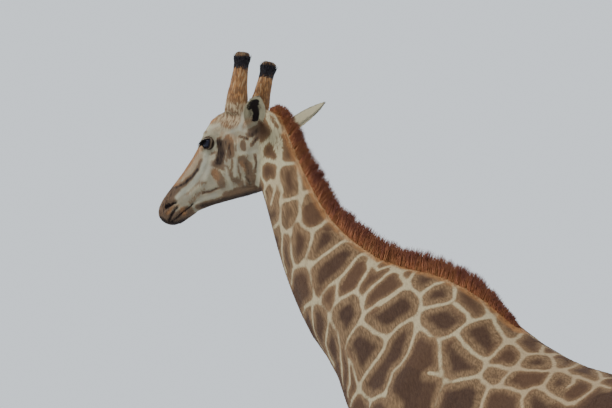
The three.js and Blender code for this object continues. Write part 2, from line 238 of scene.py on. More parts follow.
head_part = copy_of(["head", "ear_left", "ear_right", "ossicone_left", "ossicone_right", "neck"], "head_part")
cut(head_part, THROAT_CUT, keep_ahead=False, shift=0.03, fill=True)
remeshed(head_part, HEAD_CELL, 0.0012)
cut(head_part, THROAT_CUT, keep_ahead=False, shift=-0.0015)

neck_part = copy_of(["head", "neck", "trunk"], "neck_part")
cut(neck_part, THROAT_CUT, keep_ahead=True, shift=-0.05, fill=True)
cut(neck_part, BACK_CUT, keep_ahead=False, shift=0.05, fill=True)
remeshed(neck_part, NECK_CELL, 0.0012)
cut(neck_part, THROAT_CUT, keep_ahead=True, shift=0.0015)
cut(neck_part, BACK_CUT, keep_ahead=False, shift=-0.002)

body_part = copy_of(
    ["neck", "trunk", "tail", "leg_front_left", "leg_front_right", "leg_hind_left", "leg_hind_right"],
    "body_part",
)
remeshed(body_part, BODY_CELL, 0.0015)
cut(body_part, BACK_CUT, keep_ahead=True, shift=0.002)

bpy.ops.object.select_all(action="DESELECT")
for part in (head_part, neck_part, body_part):
    part.select_set(True)
bpy.context.view_layer.objects.active = body_part
bpy.ops.object.join()
skin = bpy.context.object
skin.name = "skin"
skin.data.name = "skin"
for plane in (THROAT_CUT, BACK_CUT):
    open_loop_near(skin, plane)
    bpy.ops.object.mode_set(mode="EDIT")
    bpy.ops.mesh.select_mode(type="EDGE")
    bpy.ops.mesh.bridge_edge_loops()
    bpy.ops.object.mode_set(mode="OBJECT")
bpy.ops.object.mode_set(mode="EDIT")
bpy.ops.mesh.select_all(action="SELECT")
bpy.ops.mesh.normals_make_consistent(inside=False)
bpy.ops.object.mode_set(mode="OBJECT")


def points_of(mesh):
    co = np.empty(len(mesh.vertices) * 3)
    mesh.vertices.foreach_get("co", co)
    return co.reshape(-1, 3)


def normals_of(mesh):
    out = np.empty(len(mesh.vertices) * 3, np.float32)
    mesh.vertex_normals.foreach_get("vector", out)
    return out.reshape(-1, 3).astype(float)


def place_points(mesh, points):
    mesh.vertices.foreach_set("co", np.ascontiguousarray(points, np.float32).ravel())
    mesh.update()


def edges_of(mesh):
    pairs = np.empty(len(mesh.edges) * 2, np.int32)
    mesh.edges.foreach_get("vertices", pairs)
    return pairs.reshape(-1, 2)


def ramp(value, low, high):
    t = np.clip((value - low) / (high - low), 0, 1)
    return t * t * (3 - 2 * t)


def relaxed(points, pairs, rounds, weight=None, back=-0.53):
    """Smooths without shrinking: each round moves points in, then nearly as far back out."""
    a, b = pairs[:, 0], pairs[:, 1]
    count = np.bincount(a, minlength=len(points)) + np.bincount(b, minlength=len(points))
    count = np.maximum(count, 1)[:, None]
    for _ in range(rounds):
        for step in (0.5, back):
            total = np.empty_like(points)
            for k in range(3):
                total[:, k] = np.bincount(a, points[b, k], len(points)) + np.bincount(
                    b, points[a, k], len(points)
                )
            move = (total / count - points) * step
            points = points + (move if weight is None else move * weight[:, None])
    return points


skin_edges = edges_of(skin.data)
skin_points = points_of(skin.data)


def on_head(points):
    """Forward of the poll, up and left, in metres, for points of the head."""
    away = points - np.array(POLL)
    return np.stack([away @ np.array(HEAD_AHEAD), away @ np.array(HEAD_UP), away @ np.array(HEAD_LEFT)], 1)


def off_head(places):
    return (
        np.array(POLL)
        + places[:, :1] * np.array(HEAD_AHEAD)
        + places[:, 1:2] * np.array(HEAD_UP)
        + places[:, 2:3] * np.array(HEAD_LEFT)
    )


head_side = (skin_points - np.array(THROAT_CUT[0])) @ np.array(THROAT_CUT[1])
is_head = head_side < 0
places = on_head(skin_points)
ear_share = ramp(np.abs(places[:, 2]), 0.105, 0.135) * (places[:, 0] < 0.16) * is_head
skin_points = relaxed(skin_points, skin_edges, 5)
skin_points = relaxed(skin_points, skin_edges, 26, weight=1 - ear_share)

# The hide runs up onto the horns of bone in a soft slope all round their feet.
HORN_FOOT = np.array([0.143, 0.070, 0.072])
HORN_TIP = np.array([-0.028, 0.241, 0.095])
horn_axis = (HORN_TIP - HORN_FOOT) / np.linalg.norm(HORN_TIP - HORN_FOOT)
horn_length = np.linalg.norm(HORN_TIP - HORN_FOOT)


def horn_numbers(points, side=0):
    """How far up the horn points are, as a share of it, and how far off its middle line."""
    spots = on_head(points)
    spots[:, 2] = np.abs(spots[:, 2]) if side == 0 else spots[:, 2] * side
    share = (spots - HORN_FOOT) @ horn_axis / horn_length
    return share, np.linalg.norm(spots - HORN_FOOT - (share * horn_length)[:, None] * horn_axis, axis=1)


# Their outer sides lean in to meet the temples, with no ledge over them.
TEMPLE_SIDE = 0.080
horn_share, horn_gap = horn_numbers(skin_points)
spots = on_head(skin_points)
beyond = np.maximum(np.abs(spots[:, 2]) - TEMPLE_SIDE, 0)
kept = np.interp(horn_share, (-0.05, 0.10, 0.36), (0.22, 0.55, 1.0))
taken = beyond * (1 - kept) * ramp(horn_share, -0.14, -0.05) * (1 - ramp(horn_gap, 0.068, 0.084)) * is_head * (1 - ramp(horn_share, 0.34, 0.40))
spots[:, 2] -= np.sign(spots[:, 2]) * taken
skin_points = np.where(is_head[:, None], off_head(spots), skin_points)
foot_share = (1 - ramp(horn_gap, 0.062, 0.088)) * (1 - ramp(np.abs(horn_share + 0.03), 0.12, 0.33)) * is_head * (1 - ear_share)
skin_points = relaxed(skin_points, skin_edges, 45, weight=foot_share, back=0.0)
place_points(skin.data, skin_points)
skin_points = skin_points - normals_of(skin.data) * (COAT_DEPTH + 0.0012)
place_points(skin.data, skin_points)

skin_tree = BVHTree.FromPolygons(
    [Vector(p) for p in skin_points], [tuple(p.vertices) for p in skin.data.polygons]
)


def seen_at(x, y):
    """The point of the skin under a point of the picture, or the nearest one beside it."""
    ray = (VIEW_AHEAD * FOCAL_PIXELS + VIEW_RIGHT * (x - PICTURE_WIDTH / 2) - VIEW_UP * (y - PICTURE_HEIGHT / 2)).normalized()
    hit = skin_tree.ray_cast(VIEW_FROM, ray)[0]
    if hit is not None:
        return np.array(hit)
    best = None
    for reach in np.linspace(9.6, 11.6, 21):
        spot, _, _, gap = skin_tree.find_nearest(VIEW_FROM + ray * reach)
        if best is None or gap < best[0]:
            best = (gap, spot)
    return np.array(best[1])


def picture_place(points):
    """Where points show in the picture."""
    away = points - np.array(VIEW_FROM)
    depth = away @ np.array(VIEW_AHEAD)
    x = PICTURE_WIDTH / 2 + FOCAL_PIXELS * (away @ np.array(VIEW_RIGHT)) / depth
    y = PICTURE_HEIGHT / 2 - FOCAL_PIXELS * (away @ np.array(VIEW_UP)) / depth
    return x, y


def span_gap(points, a, b):
    """How far points are from the straight line between a and b."""
    along = b - a
    t = np.clip(((points - a) @ along) / max(along @ along, 1e-12), 0, 1)
    return np.linalg.norm(points - a - t[:, None] * along, axis=1)


def line_gap(points, path):
    gap = np.full(len(points), 9.0)
    for a, b in zip(path[:-1], path[1:]):
        gap = np.minimum(gap, span_gap(points, np.asarray(a, float), np.asarray(b, float)))
    return gap


def head_twins(points):
    """Points of the head, with those of its right half laid over onto its left."""
    spots = on_head(points)
    spots[:, 2] = np.abs(spots[:, 2])
    return off_head(spots)


# Folds of the face: each is a line through points of the picture, with its half
# width in metres and how far the skin goes out (or in, below zero).
FACE_FOLDS = {
    "nostril": ([(165.5, 208), (169, 206), (172.5, 204), (176, 202.6)], 0.0050, -0.0105),
    "nostril_front": ([(166, 206), (168, 204.5)], 0.0070, -0.0060),
    "nostril_wing": ([(165, 213), (168, 209.5), (173, 206.5), (178, 204)], 0.0060, 0.0040),
    "nostril_roof": ([(166, 201), (171, 199.5), (177, 199)], 0.0070, 0.0030),
    "lip_crease": ([(177.5, 206.5), (174.5, 211), (171.5, 216), (169, 221)], 0.0045, -0.0055),
    "lip_side": ([(180, 209), (178, 213), (175, 217)], 0.0090, 0.0035),
    "mouth": ([(171, 222), (176, 218), (182, 213), (187, 208.5), (193, 204)], 0.0034, -0.0048),
    "lower_lip": ([(178, 221), (184, 217), (190, 211)], 0.0090, 0.0025),
    "mouth_corner": ([(193, 204), (198, 201)], 0.0060, -0.0030),
    "cheek_fold": ([(203, 193), (210, 191), (217, 188.5)], 0.0050, -0.0035),
    "nose_ridge": ([(203, 152), (196, 164), (188, 176), (178, 188)], 0.0120, 0.0035),
    "nose_groove": ([(208, 165), (201, 176), (193, 186), (184, 194)], 0.0130, -0.0045),
    "cheek_ridge": ([(216, 160), (209, 175), (200, 187), (190, 196)], 0.0140, 0.0040),
    "cheek": ([(236, 160), (233, 172), (226, 180)], 0.0400, 0.0060),
    "jaw_groove": ([(250, 160), (245, 175), (236, 186)], 0.0130, -0.0025),
    "jaw_edge": ([(212, 200), (226, 196), (242, 192), (254, 188)], 0.0110, 0.0035),
    "temple": ([(222, 128), (229, 133), (236, 140)], 0.0140, -0.0040),
    "brow_edge": ([(203, 133), (209, 130.5), (216, 131.5), (221, 135)], 0.0075, 0.0045),
    "under_eye": ([(203, 151), (209, 154), (215, 151), (219, 146)], 0.0070, -0.0028),
    "under_eye_fold": ([(205, 155), (211, 157), (217, 154)], 0.0055, 0.0020),
    "forehead_bump": ([(212, 121), (215, 119)], 0.0120, 0.0025),
}
skin_normals = normals_of(skin.data)
head_side = (skin_points - np.array(THROAT_CUT[0])) @ np.array(THROAT_CUT[1])
is_head = head_side < 0
places = on_head(skin_points)
face_points = head_twins(skin_points)
face_part = is_head & (places[:, 0] > 0.10) & (places[:, 1] < 0.16)
fold_move = np.zeros(len(skin_points))
for path, half, height in FACE_FOLDS.values():
    spots = [seen_at(x, y) for x, y in path]
    gap = line_gap(face_points[face_part], spots)
    fold_move[face_part] += height * np.exp(-((gap / half) ** 2))
skin_points = skin_points + skin_normals * fold_move[:, None]

# Forms of the body that show through the hide, on both sides: end points and
# half width in metres, and how far they stand out or sink in.
BODY_FORMS = {
    "shoulder_blade": ([(0.02, 0.20, 2.72), (-0.16, 0.27, 2.40), (-0.30, 0.27, 2.12)], 0.060, 0.012),
    "behind_shoulder": ([(0.14, 0.24, 2.60), (0.06, 0.30, 2.30), (0.00, 0.30, 2.02)], 0.055, -0.010),
    "shoulder_point": ([(-0.42, 0.22, 2.12), (-0.40, 0.22, 2.02)], 0.075, 0.012),
    "neck_groove": ([(-0.95, 0.05, 3.25), (-0.78, 0.08, 2.90), (-0.60, 0.12, 2.58)], 0.024, -0.007),
    "neck_muscle": ([(-0.88, 0.08, 3.28), (-0.62, 0.12, 2.92), (-0.36, 0.17, 2.66)], 0.050, 0.007),
    "chest_fold_one": ([(-0.56, 0.14, 2.50), (-0.50, 0.17, 2.30), (-0.46, 0.18, 2.14)], 0.012, -0.006),
    "chest_fold_two": ([(-0.50, 0.19, 2.52), (-0.45, 0.21, 2.34), (-0.42, 0.20, 2.18)], 0.012, -0.005),
    "elbow": ([(-0.06, 0.22, 1.90), (-0.10, 0.24, 1.82)], 0.045, 0.014),
    "elbow_fold": ([(0.00, 0.24, 1.98), (-0.08, 0.26, 1.78)], 0.016, -0.008),
    "flank": ([(0.80, 0.27, 2.20), (0.92, 0.25, 2.00)], 0.085, -0.014),
    "flank_fold": ([(0.90, 0.24, 1.96), (0.86, 0.22, 1.84), (0.80, 0.18, 1.74)], 0.028, 0.012),
    "hip_bone": ([(0.86, 0.22, 2.44), (0.92, 0.22, 2.40)], 0.050, 0.014),
    "thigh_edge": ([(1.36, 0.16, 2.20), (1.30, 0.22, 1.96), (1.24, 0.24, 1.72)], 0.030, -0.010),
    "stifle": ([(0.92, 0.26, 1.82), (0.96, 0.27, 1.74)], 0.060, 0.010),
    "rib_one": ([(0.22, 0.26, 2.42), (0.26, 0.32, 2.10), (0.22, 0.26, 1.86)], 0.018, -0.004),
    "rib_two": ([(0.33, 0.26, 2.40), (0.38, 0.33, 2.08), (0.34, 0.27, 1.86)], 0.018, -0.004),
    "rib_three": ([(0.44, 0.26, 2.38), (0.50, 0.33, 2.08), (0.46, 0.28, 1.87)], 0.018, -0.004),
    "rib_four": ([(0.55, 0.26, 2.36), (0.62, 0.33, 2.08), (0.58, 0.28, 1.88)], 0.018, -0.004),
}
both_sides = skin_points * (1, 0, 1) + np.abs(skin_points) * (0, 1, 0)
body_move = np.zeros(len(skin_points))
for path, half, height in BODY_FORMS.values():
    near = (~is_head) & np.all(
        (both_sides > np.min(path, 0) - 3 * half - 0.1) & (both_sides < np.max(path, 0) + 3 * half + 0.1), 1
    )
    gap = line_gap(both_sides[near], path)
    body_move[near] += height * np.exp(-((gap / half) ** 2))
skin_points = skin_points + skin_normals * body_move[:, None]
place_points(skin.data, skin_points)
print("skin", len(skin.data.vertices), "points", len(skin.data.polygons), "faces")

for polygon in skin.data.polygons:
    polygon.use_smooth = True
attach(skin, "root")
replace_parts(skin, *FLESH)
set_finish(skin, "coat")

# ---------------------------------------------------------------- markings of the coat
# A southern giraffe's coat: brown patches with uneven edges, parted by a net of
# pale lines. They are kept on the skin as numbers for each point, and each tuft
# of fur takes the numbers of the skin that it grows from.

# The pale lines of the neck and shoulder, each through points of the picture.
NECK_LINES = {
    "under_the_mane": [(267, 106), (272, 113), (278, 121), (283, 129), (288, 134), (291, 141), (295, 149), (298, 157), (300, 163), (303, 170), (307, 177), (310, 184), (313, 190), (317, 198), (321, 204), (326, 211), (329, 218), (334, 224), (339, 230), (344, 236), (350, 240), (357, 245), (364, 249), (369, 252), (372, 257), (371, 262)],
    "nape_back": [(300, 163), (299, 172), (300, 182), (301, 191), (301, 200)],
    "behind_ear": [(270, 108), (268, 118), (271, 126), (276, 131), (283, 129)],
    "ear_down": [(276, 131), (273, 138), (276, 147), (279, 156), (278, 163), (273, 161), (268, 160), (262, 161)],
    "ear_down_back": [(276, 131), (280, 141), (281, 151), (280, 160), (281, 164)],
    "first_ring": [(281, 164), (288, 164), (295, 163), (300, 163)],
    "throat_side": [(281, 164), (278, 170), (278, 178), (280, 186), (282, 192), (281, 202), (282, 212), (281, 222), (283, 230)],
    "throat_side_low": [(273, 184), (277, 182), (278, 178)],
    "jaw_corner": [(262, 161), (260, 168), (262, 178), (266, 185), (270, 181), (273, 184)],
    "jaw_corner_low": [(266, 185), (264, 192), (266, 199)],
    "under_jaw": [(273, 184), (275, 190), (273, 197), (271, 204)],
    "jaw_back": [(262, 161), (261, 153), (262, 145), (268, 141), (273, 138)],
    "second_ring": [(282, 201), (288, 200), (294, 198), (301, 196), (307, 192), (313, 190)],
    "middle_down": [(301, 196), (300, 206), (300, 216), (298, 221), (294, 227), (291, 232)],
    "third_ring": [(300, 218), (303, 226), (308, 229), (314, 230), (320, 226), (325, 222), (329, 218)],
    "throat_hook": [(281, 222), (276, 226), (272, 230)],
    "throat_knot": [(283, 230), (287, 232), (291, 232)],
    "throat_two": [(283, 230), (282, 240), (281, 250), (283, 262), (286, 272)],
    "throat_three": [(291, 232), (292, 244), (292, 255), (295, 267), (291, 276), (289, 284)],
    "middle_down_two": [(313, 230), (312, 240), (310, 250), (307, 258), (304, 264)],
    "fourth_ring_left": [(295, 267), (299, 266), (304, 264), (311, 267)],
    "fourth_ring": [(311, 267), (317, 262), (323, 256), (329, 252), (336, 246), (342, 242), (350, 240)],
    "fourth_ring_low": [(304, 264), (308, 262), (314, 264)],
    "middle_down_three": [(311, 267), (312, 275), (313, 284), (315, 292), (316, 300)],
    "long_line_one": [(321, 301), (324, 294), (330, 286), (338, 280), (344, 274), (350, 267), (354, 261), (359, 256), (364, 254), (369, 256), (371, 262)],
    "long_line_two": [(371, 262), (368, 270), (364, 277), (359, 285), (356, 291), (348, 295), (341, 299), (336, 304), (333, 311), (331, 317)],
    "short_link": [(338, 281), (337, 290), (337, 302)],
    "bottom_left": [(316, 301), (310, 303), (305, 307), (302, 312)],
    "chest_line_one": [(314, 302), (312, 312), (313, 322), (314, 331), (317, 340), (322, 350)],
    "knot_down": [(316, 300), (321, 303), (326, 308), (331, 315)],
    "knot_left": [(316, 300), (321, 301)],
    "chest_line_two": [(331, 317), (329, 325), (327, 334), (326, 345), (329, 355), (334, 365)],
    "chest_line_three": [(331, 317), (334, 325), (339, 333), (341, 345), (341, 358), (342, 370), (343, 383)],
    "long_line_three": [(356, 291), (360, 296), (362, 304), (364, 314), (361, 321)],
    "long_line_four": [(364, 314), (370, 309), (378, 303), (386, 299), (394, 294), (400, 289), (406, 286)],
    "shoulder_line_one": [(361, 321), (355, 329), (350, 338), (347, 349), (349, 358), (354, 366), (356, 377), (359, 389)],
    "chest_line_four": [(350, 361), (350, 372), (350, 384), (348, 396)],
    "shoulder_line_two": [(361, 321), (368, 327), (377, 333), (387, 338)],
    "shoulder_line_three": [(387, 338), (394, 331), (402, 324), (410, 320), (416, 318)],
    "shoulder_line_four": [(387, 338), (384, 348), (378, 358), (371, 367), (365, 376), (359, 389)],
    "shoulder_line_five": [(416, 318), (416, 331), (412, 343), (408, 355), (401, 365), (393, 372), (390, 382), (386, 394)],
    "shoulder_line_six": [(359, 389), (364, 395), (371, 401), (378, 397), (386, 394)],
    "shoulder_line_seven": [(386, 394), (391, 402), (397, 409)],
    "shoulder_line_eight": [(371, 401), (369, 410)],
    "shoulder_line_nine": [(359, 389), (354, 397), (350, 409)],
    "shoulder_top_one": [(380, 305), (388, 299), (396, 293), (403, 288), (408, 285)],
    "shoulder_top_two": [(408, 285), (414, 291), (420, 296), (421, 307), (418, 316)],
    "upper_row_one": [(362, 303), (366, 294), (372, 287), (379, 281), (386, 275), (393, 271), (401, 271)],
    "upper_row_two": [(371, 262), (378, 270), (386, 267), (394, 265), (392, 270)],
    "upper_row_three": [(371, 262), (377, 264), (384, 261), (390, 259)],
    "upper_row_four": [(401, 271), (401, 277), (406, 282), (408, 288)],
    "upper_row_five": [(401, 271), (410, 270), (418, 271), (426, 271), (434, 269), (441, 271), (444, 277)],
    "upper_row_six": [(408, 282), (412, 276), (417, 270), (421, 265)],
    "upper_row_seven": [(394, 265), (398, 269), (401, 271)],
    "upper_row_eight": [(421, 295), (426, 290), (433, 285), (440, 283), (447, 281)],
    "mane_side_end": [(444, 277), (450, 281), (458, 286), (467, 289), (474, 293), (481, 300), (486, 307), (489, 315)],
    "mane_side_top": [(421, 267), (430, 266), (440, 268), (450, 273), (453, 281)],
    "withers_one": [(454, 283), (455, 291), (454, 299), (448, 303), (440, 305), (430, 307), (421, 309)],
    "withers_two": [(455, 303), (461, 309), (468, 315), (470, 321)],
    "withers_three": [(417, 318), (419, 327), (425, 331), (432, 337), (440, 340), (449, 337), (457, 332), (464, 326), (471, 321), (480, 319), (489, 316)],
    "withers_four": [(419, 327), (416, 331)],
    "back_one": [(489, 316), (495, 315), (503, 313), (509, 312)],
    "back_two": [(493, 317), (496, 325), (501, 333), (507, 341)],
    "back_three": [(507, 341), (513, 340), (520, 336), (526, 332), (529, 330)],
    "back_four": [(507, 341), (501, 347), (495, 354), (488, 359), (483, 359), (476, 355), (469, 349), (463, 343), (459, 336), (457, 332)],
    "shoulder_down": [(440, 340), (440, 350), (440, 360), (441, 370), (443, 379), (447, 381), (455, 380), (464, 379), (472, 377), (479, 376), (484, 369), (486, 360)],
    "shoulder_down_low": [(443, 380), (439, 390), (435, 399), (432, 409)],
    "shoulder_notch": [(440, 374), (434, 374), (429, 373)],
    "back_five": [(479, 376), (485, 383), (489, 387), (499, 386), (509, 388), (518, 391), (525, 392)],
    "back_six": [(488, 388), (484, 397), (481, 409)],
    "back_seven": [(499, 386), (505, 378), (511, 371), (517, 367), (521, 360), (525, 354)],
    "back_eight": [(489, 365), (498, 366), (507, 369), (517, 368)],
    "back_nine": [(507, 341), (515, 344), (520, 349), (525, 354), (533, 354), (541, 354), (551, 355)],
    "back_ten": [(541, 354), (543, 348), (546, 343)],
    "back_eleven": [(551, 355), (557, 354), (563, 353)],
    "back_twelve": [(551, 355), (554, 363), (555, 370), (549, 377), (545, 384), (542, 388)],
    "back_thirteen": [(517, 369), (530, 370), (543, 371), (555, 370)],
    "back_fourteen": [(525, 392), (532, 388), (542, 387), (548, 393), (556, 398), (566, 403), (575, 404)],
    "back_fifteen": [(525, 392), (522, 400), (522, 410)],
    "back_sixteen": [(555, 370), (563, 370), (571, 368), (579, 364), (584, 362)],
    "back_seventeen": [(563, 370), (571, 375), (579, 377), (588, 380), (597, 384), (606, 387), (613, 389)],
    "back_eighteen": [(575, 377), (572, 384), (568, 387)],
    "back_nineteen": [(597, 384), (592, 391), (585, 396), (577, 401), (568, 404)],
    "back_twenty": [(597, 384), (602, 379), (607, 378), (613, 378)],
    "back_end": [(598, 371), (602, 378)],
}
SEEN_PATCH_CENTRES = {
    "neck_upper": [(274, 117), (278, 125), (289, 148), (276, 148), (266, 151), (269, 172), (290, 181), (304, 178), (270, 192), (308, 199), (291, 213), (313, 212)],
    "neck_middle": [(276, 210), (278, 236), (286, 252), (301, 246), (327, 240), (340, 225), (302, 288), (332, 275), (307, 330), (320, 325), (330, 295), (347, 312), (355, 278), (360, 250)],
    "neck_lower": [(374, 280), (388, 285), (400, 305), (425, 283), (438, 296), (365, 345), (400, 340), (380, 378), (334, 345), (345, 370), (350, 400), (380, 406), (408, 390), (428, 352)],
    "back": [(440, 320), (468, 303), (480, 338), (500, 326), (525, 344), (505, 355), (462, 360), (498, 376), (535, 362), (530, 380), (462, 395), (505, 400), (555, 388), (580, 390), (590, 373), (548, 350)],
}
LINE_HALF_WIDTH = 0.0070
LINE_FLARE = 0.0058

# Both sides carry the same net: a point of the far side is judged by its twin.
twins = skin_points.copy()
places = on_head(skin_points)
head_share = ramp(-head_side, 0.02, 0.10)[:, None]
far_body = skin_points[:, 1] > 0
twins[far_body, 1] *= -1
twins = twins * (1 - head_share) + head_twins(skin_points) * head_share

# Marks that are laid on from one side fade out where the hide turns away from it.
face_normals = normals_of(skin.data)
twin_normals = face_normals.copy()
twin_normals[far_body, 1] *= -1
face_normals = np.stack([face_normals @ np.array(v) for v in (HEAD_AHEAD, HEAD_UP, HEAD_LEFT)], 1)
face_normals[places[:, 2] < 0, 2] *= -1
turned_back = face_normals[:, :1] * np.array(HEAD_AHEAD) + face_normals[:, 1:2] * np.array(HEAD_UP) + face_normals[:, 2:3] * np.array(HEAD_LEFT)
twin_normals = twin_normals * (1 - head_share) + turned_back * head_share
towards = np.array(VIEW_FROM) - twins
facing = np.sum(twin_normals * towards, 1) / np.linalg.norm(towards, axis=1)

wobble = np.array([noise.noise_vector(Vector(p) * 9.0) for p in skin_points])
wobble_fine = np.array([noise.noise_vector(Vector(p) * 31.0) for p in skin_points])
moved = twins + wobble_fine * 0.004
net_sum = np.zeros(len(skin_points))
for path in NECK_LINES.values():
    spots = [seen_at(x, y) for x, y in path]
    lowest, highest = np.min(spots, 0) - 0.12, np.max(spots, 0) + 0.12
    near = np.all((moved > lowest) & (moved < highest), 1)
    net_sum[near] += np.exp(-line_gap(moved[near], spots) / LINE_FLARE)
net_gap = -LINE_FLARE * np.log(net_sum + 1e-9)

def crest_height(points):
    """How far points are above the line of the withers and the back of the neck, roughly."""
    return points[:, 2] - np.interp(points[:, 0], (-1.07, -0.88, -0.58, -0.25, 0.11, 0.30, 0.9), (3.74, 3.50, 3.16, 3.00, 2.85, 2.70, 2.45))


# Beyond what shows, patches grow around spread-out seeds: large on the trunk,
# smaller down the legs and along the belly.
def patch_reach(points):
    """Rough distance between patches, by height and place on the body."""
    z = points[:, 2]
    reach = np.full(len(points), 0.175)
    reach = np.where(z < 1.75, 0.085 + 0.09 * ramp(z, 1.15, 1.75), reach)
    reach = np.where(z < 1.15, 0.048 + 0.037 * ramp(z, 0.5, 1.15), reach)
    on_neck = (points[:, 0] < 0.1) & (z > 2.5)
    reach = np.where(on_neck, 0.13, reach)
    reach = np.where((z > 3.35), 0.085, reach)
    tail_part = (points[:, 0] > 1.30) & (np.abs(points[:, 1]) < 0.06) & (z < 2.2)
    return np.where(tail_part, 0.05, reach)


dice = np.random.default_rng(20)
known = np.array([seen_at(x, y) for group in SEEN_PATCH_CENTRES.values() for x, y in group])
known = np.concatenate([known, known * (1, -1, 1)])
order = dice.permutation(len(skin_points))[:26000]
reaches = patch_reach(skin_points)
sites = list(known)
site_array = np.array(sites)
count = len(sites)
room = np.empty((4000, 3))
room[:count] = site_array
for k in order:
    spot = skin_points[k]
    if np.min(np.sum((room[:count] - spot) ** 2, 1)) > reaches[k] ** 2:
        room[count] = spot
        count += 1
        if count == 4000:
            break
sites = room[:count]
site_tone = dice.random(count)
site_finder = KDTree(count)
for k, spot in enumerate(sites):
    site_finder.insert(spot, k)
site_finder.balance()
asked = skin_points + wobble * (0.20 * reaches[:, None]) + wobble_fine * (0.05 * reaches[:, None])
cell_gap = np.empty(len(skin_points))
tone = np.empty(len(skin_points))
for k, spot in enumerate(asked):
    near = site_finder.find_n(spot, 4)
    first = sites[near[0][1]]
    best = 1.0
    for other in near[1:]:
        second = sites[other[1]]
        span = second - first
        length = math.sqrt(span @ span)
        best = min(best, ((first + second) / 2 - spot) @ span / length)
    cell_gap[k] = best
    tone[k] = site_tone[near[0][1]]

x, y = picture_place(twins)
seen = ramp(PICTURE_WIDTH + 6 - x, 0, 8) * ramp(PICTURE_HEIGHT + 6 - y, 0, 8) * ramp(skin_points[:, 2], 2.05, 2.2)
seen = seen * np.maximum(ramp(facing, -0.40, -0.12), ramp(crest_height(skin_points), -0.10, -0.04))
cell_edge = cell_gap - LINE_HALF_WIDTH * np.clip(reaches / 0.14, 0.55, 1.15)
net_edge = net_gap - LINE_HALF_WIDTH
edge = cell_edge * (1 - seen) + net_edge * seen

# The face has blotches in place of the net. Each stroke is a line through points
# of the picture, then its reach and the softness of its edge in picture points,
# and its strength.
BLOTCHES = {
    "behind_eye": ([(221, 141), (221.5, 150), (220, 160), (217.5, 163)], 4.6, 3.0, 1.0),
    "behind_eye_two": ([(228, 140), (230.5, 148), (230, 155)], 4.4, 3.0, 0.9),
    "behind_eye_top": ([(224, 137), (229, 135.5)], 2.0, 2.0, 0.6),
    "cheek_upper": ([(212, 163), (219, 166), (226, 168)], 3.4, 3.0, 0.75),
    "cheek_middle": ([(215, 173), (220, 178), (222, 185)], 4.2, 4.0, 0.75),
    "cheek_small": ([(242.5, 143), (244, 149)], 2.6, 2.0, 0.85),
    "cheek_small_two": ([(240, 136.5), (245, 138.5), (247, 139)], 1.6, 1.4, 0.95),
    "cheek_rear": ([(242, 159), (248, 166), (250, 178)], 4.4, 3.4, 0.85),
    "cheek_rear_two": ([(254.5, 155), (256, 164), (255, 172)], 1.6, 1.8, 0.8),
    "cheek_low": ([(228, 172), (233, 178), (240, 183), (249, 186)], 4.0, 5.0, 0.66),
    "below_ear": ([(250, 133), (258, 129), (268, 121)], 4.6, 3.0, 0.95),
    "below_ear_two": ([(252, 145), (258, 136), (262, 131)], 2.2, 1.6, 0.9),
    "below_ear_three": ([(265, 137), (269, 131), (270, 126)], 2.8, 2.0, 0.9),
    "brow_shade": ([(202, 132), (206, 131)], 1.9, 2.6, 0.55),
    "forehead_one": ([(225, 125), (230, 127)], 2.4, 2.6, 0.62),
    "cheek_streak_one": ([(236, 150), (237, 141)], 1.4, 2.0, 0.66),
    "cheek_streak_two": ([(232, 160), (231, 171)], 1.3, 2.4, 0.66),
    "cheek_streak_three": ([(240, 178), (238.5, 166)], 1.3, 2.4, 0.66),
    "cheek_streak_four": ([(254, 176), (253, 187)], 2.0, 2.2, 0.8),
    "cheek_streak_five": ([(226, 147), (227, 161)], 1.2, 2.2, 0.6),
    "cheek_streak_six": ([(246, 150), (248, 157)], 1.2, 2.2, 0.55),
    "eye_front": ([(210, 155), (215, 152)], 1.4, 1.8, 0.62),
    "eye_rear": ([(217, 143), (219, 152)], 0.9, 2.2, 0.5),
    "nose_top": ([(198, 151), (192, 160), (186, 169), (180, 177)], 1.9, 3.0, 0.80),
    "nose_stripe": ([(176, 187.5), (184, 183), (193, 176), (198, 169.5), (202, 161)], 2.4, 3.0, 0.95),
    "nose_stripe_end": ([(175, 188), (184, 183.5)], 3.2, 3.0, 0.9),
    # Grey-brown painted shade along the groove beside the nose.
    "nose_groove_shade": ([(186, 194), (192, 187), (199, 183), (205, 183)], 2.6, 5.0, 0.55),
    "lip_side": ([(190, 203), (196, 196), (204, 191)], 2.2, 4.0, 0.56),
    "muzzle": ([(174, 190), (167, 202), (163, 212), (168, 219), (178, 219), (187, 213)], 7.0, 4.5, 1.0),
    "muzzle_top": ([(173, 185), (167, 195)], 4.2, 3.0, 0.95),
    "cheek_shade": ([(203, 193), (211, 191.5), (219, 188)], 1.5, 2.2, 0.75),
    "jaw": ([(199, 206), (213, 202.5), (226, 199), (240, 195.5), (257, 191)], 3.4, 3.0, 1.0),
    "jaw_rear": ([(226, 195), (240, 190), (254, 187)], 3.6, 4.0, 0.85),
}
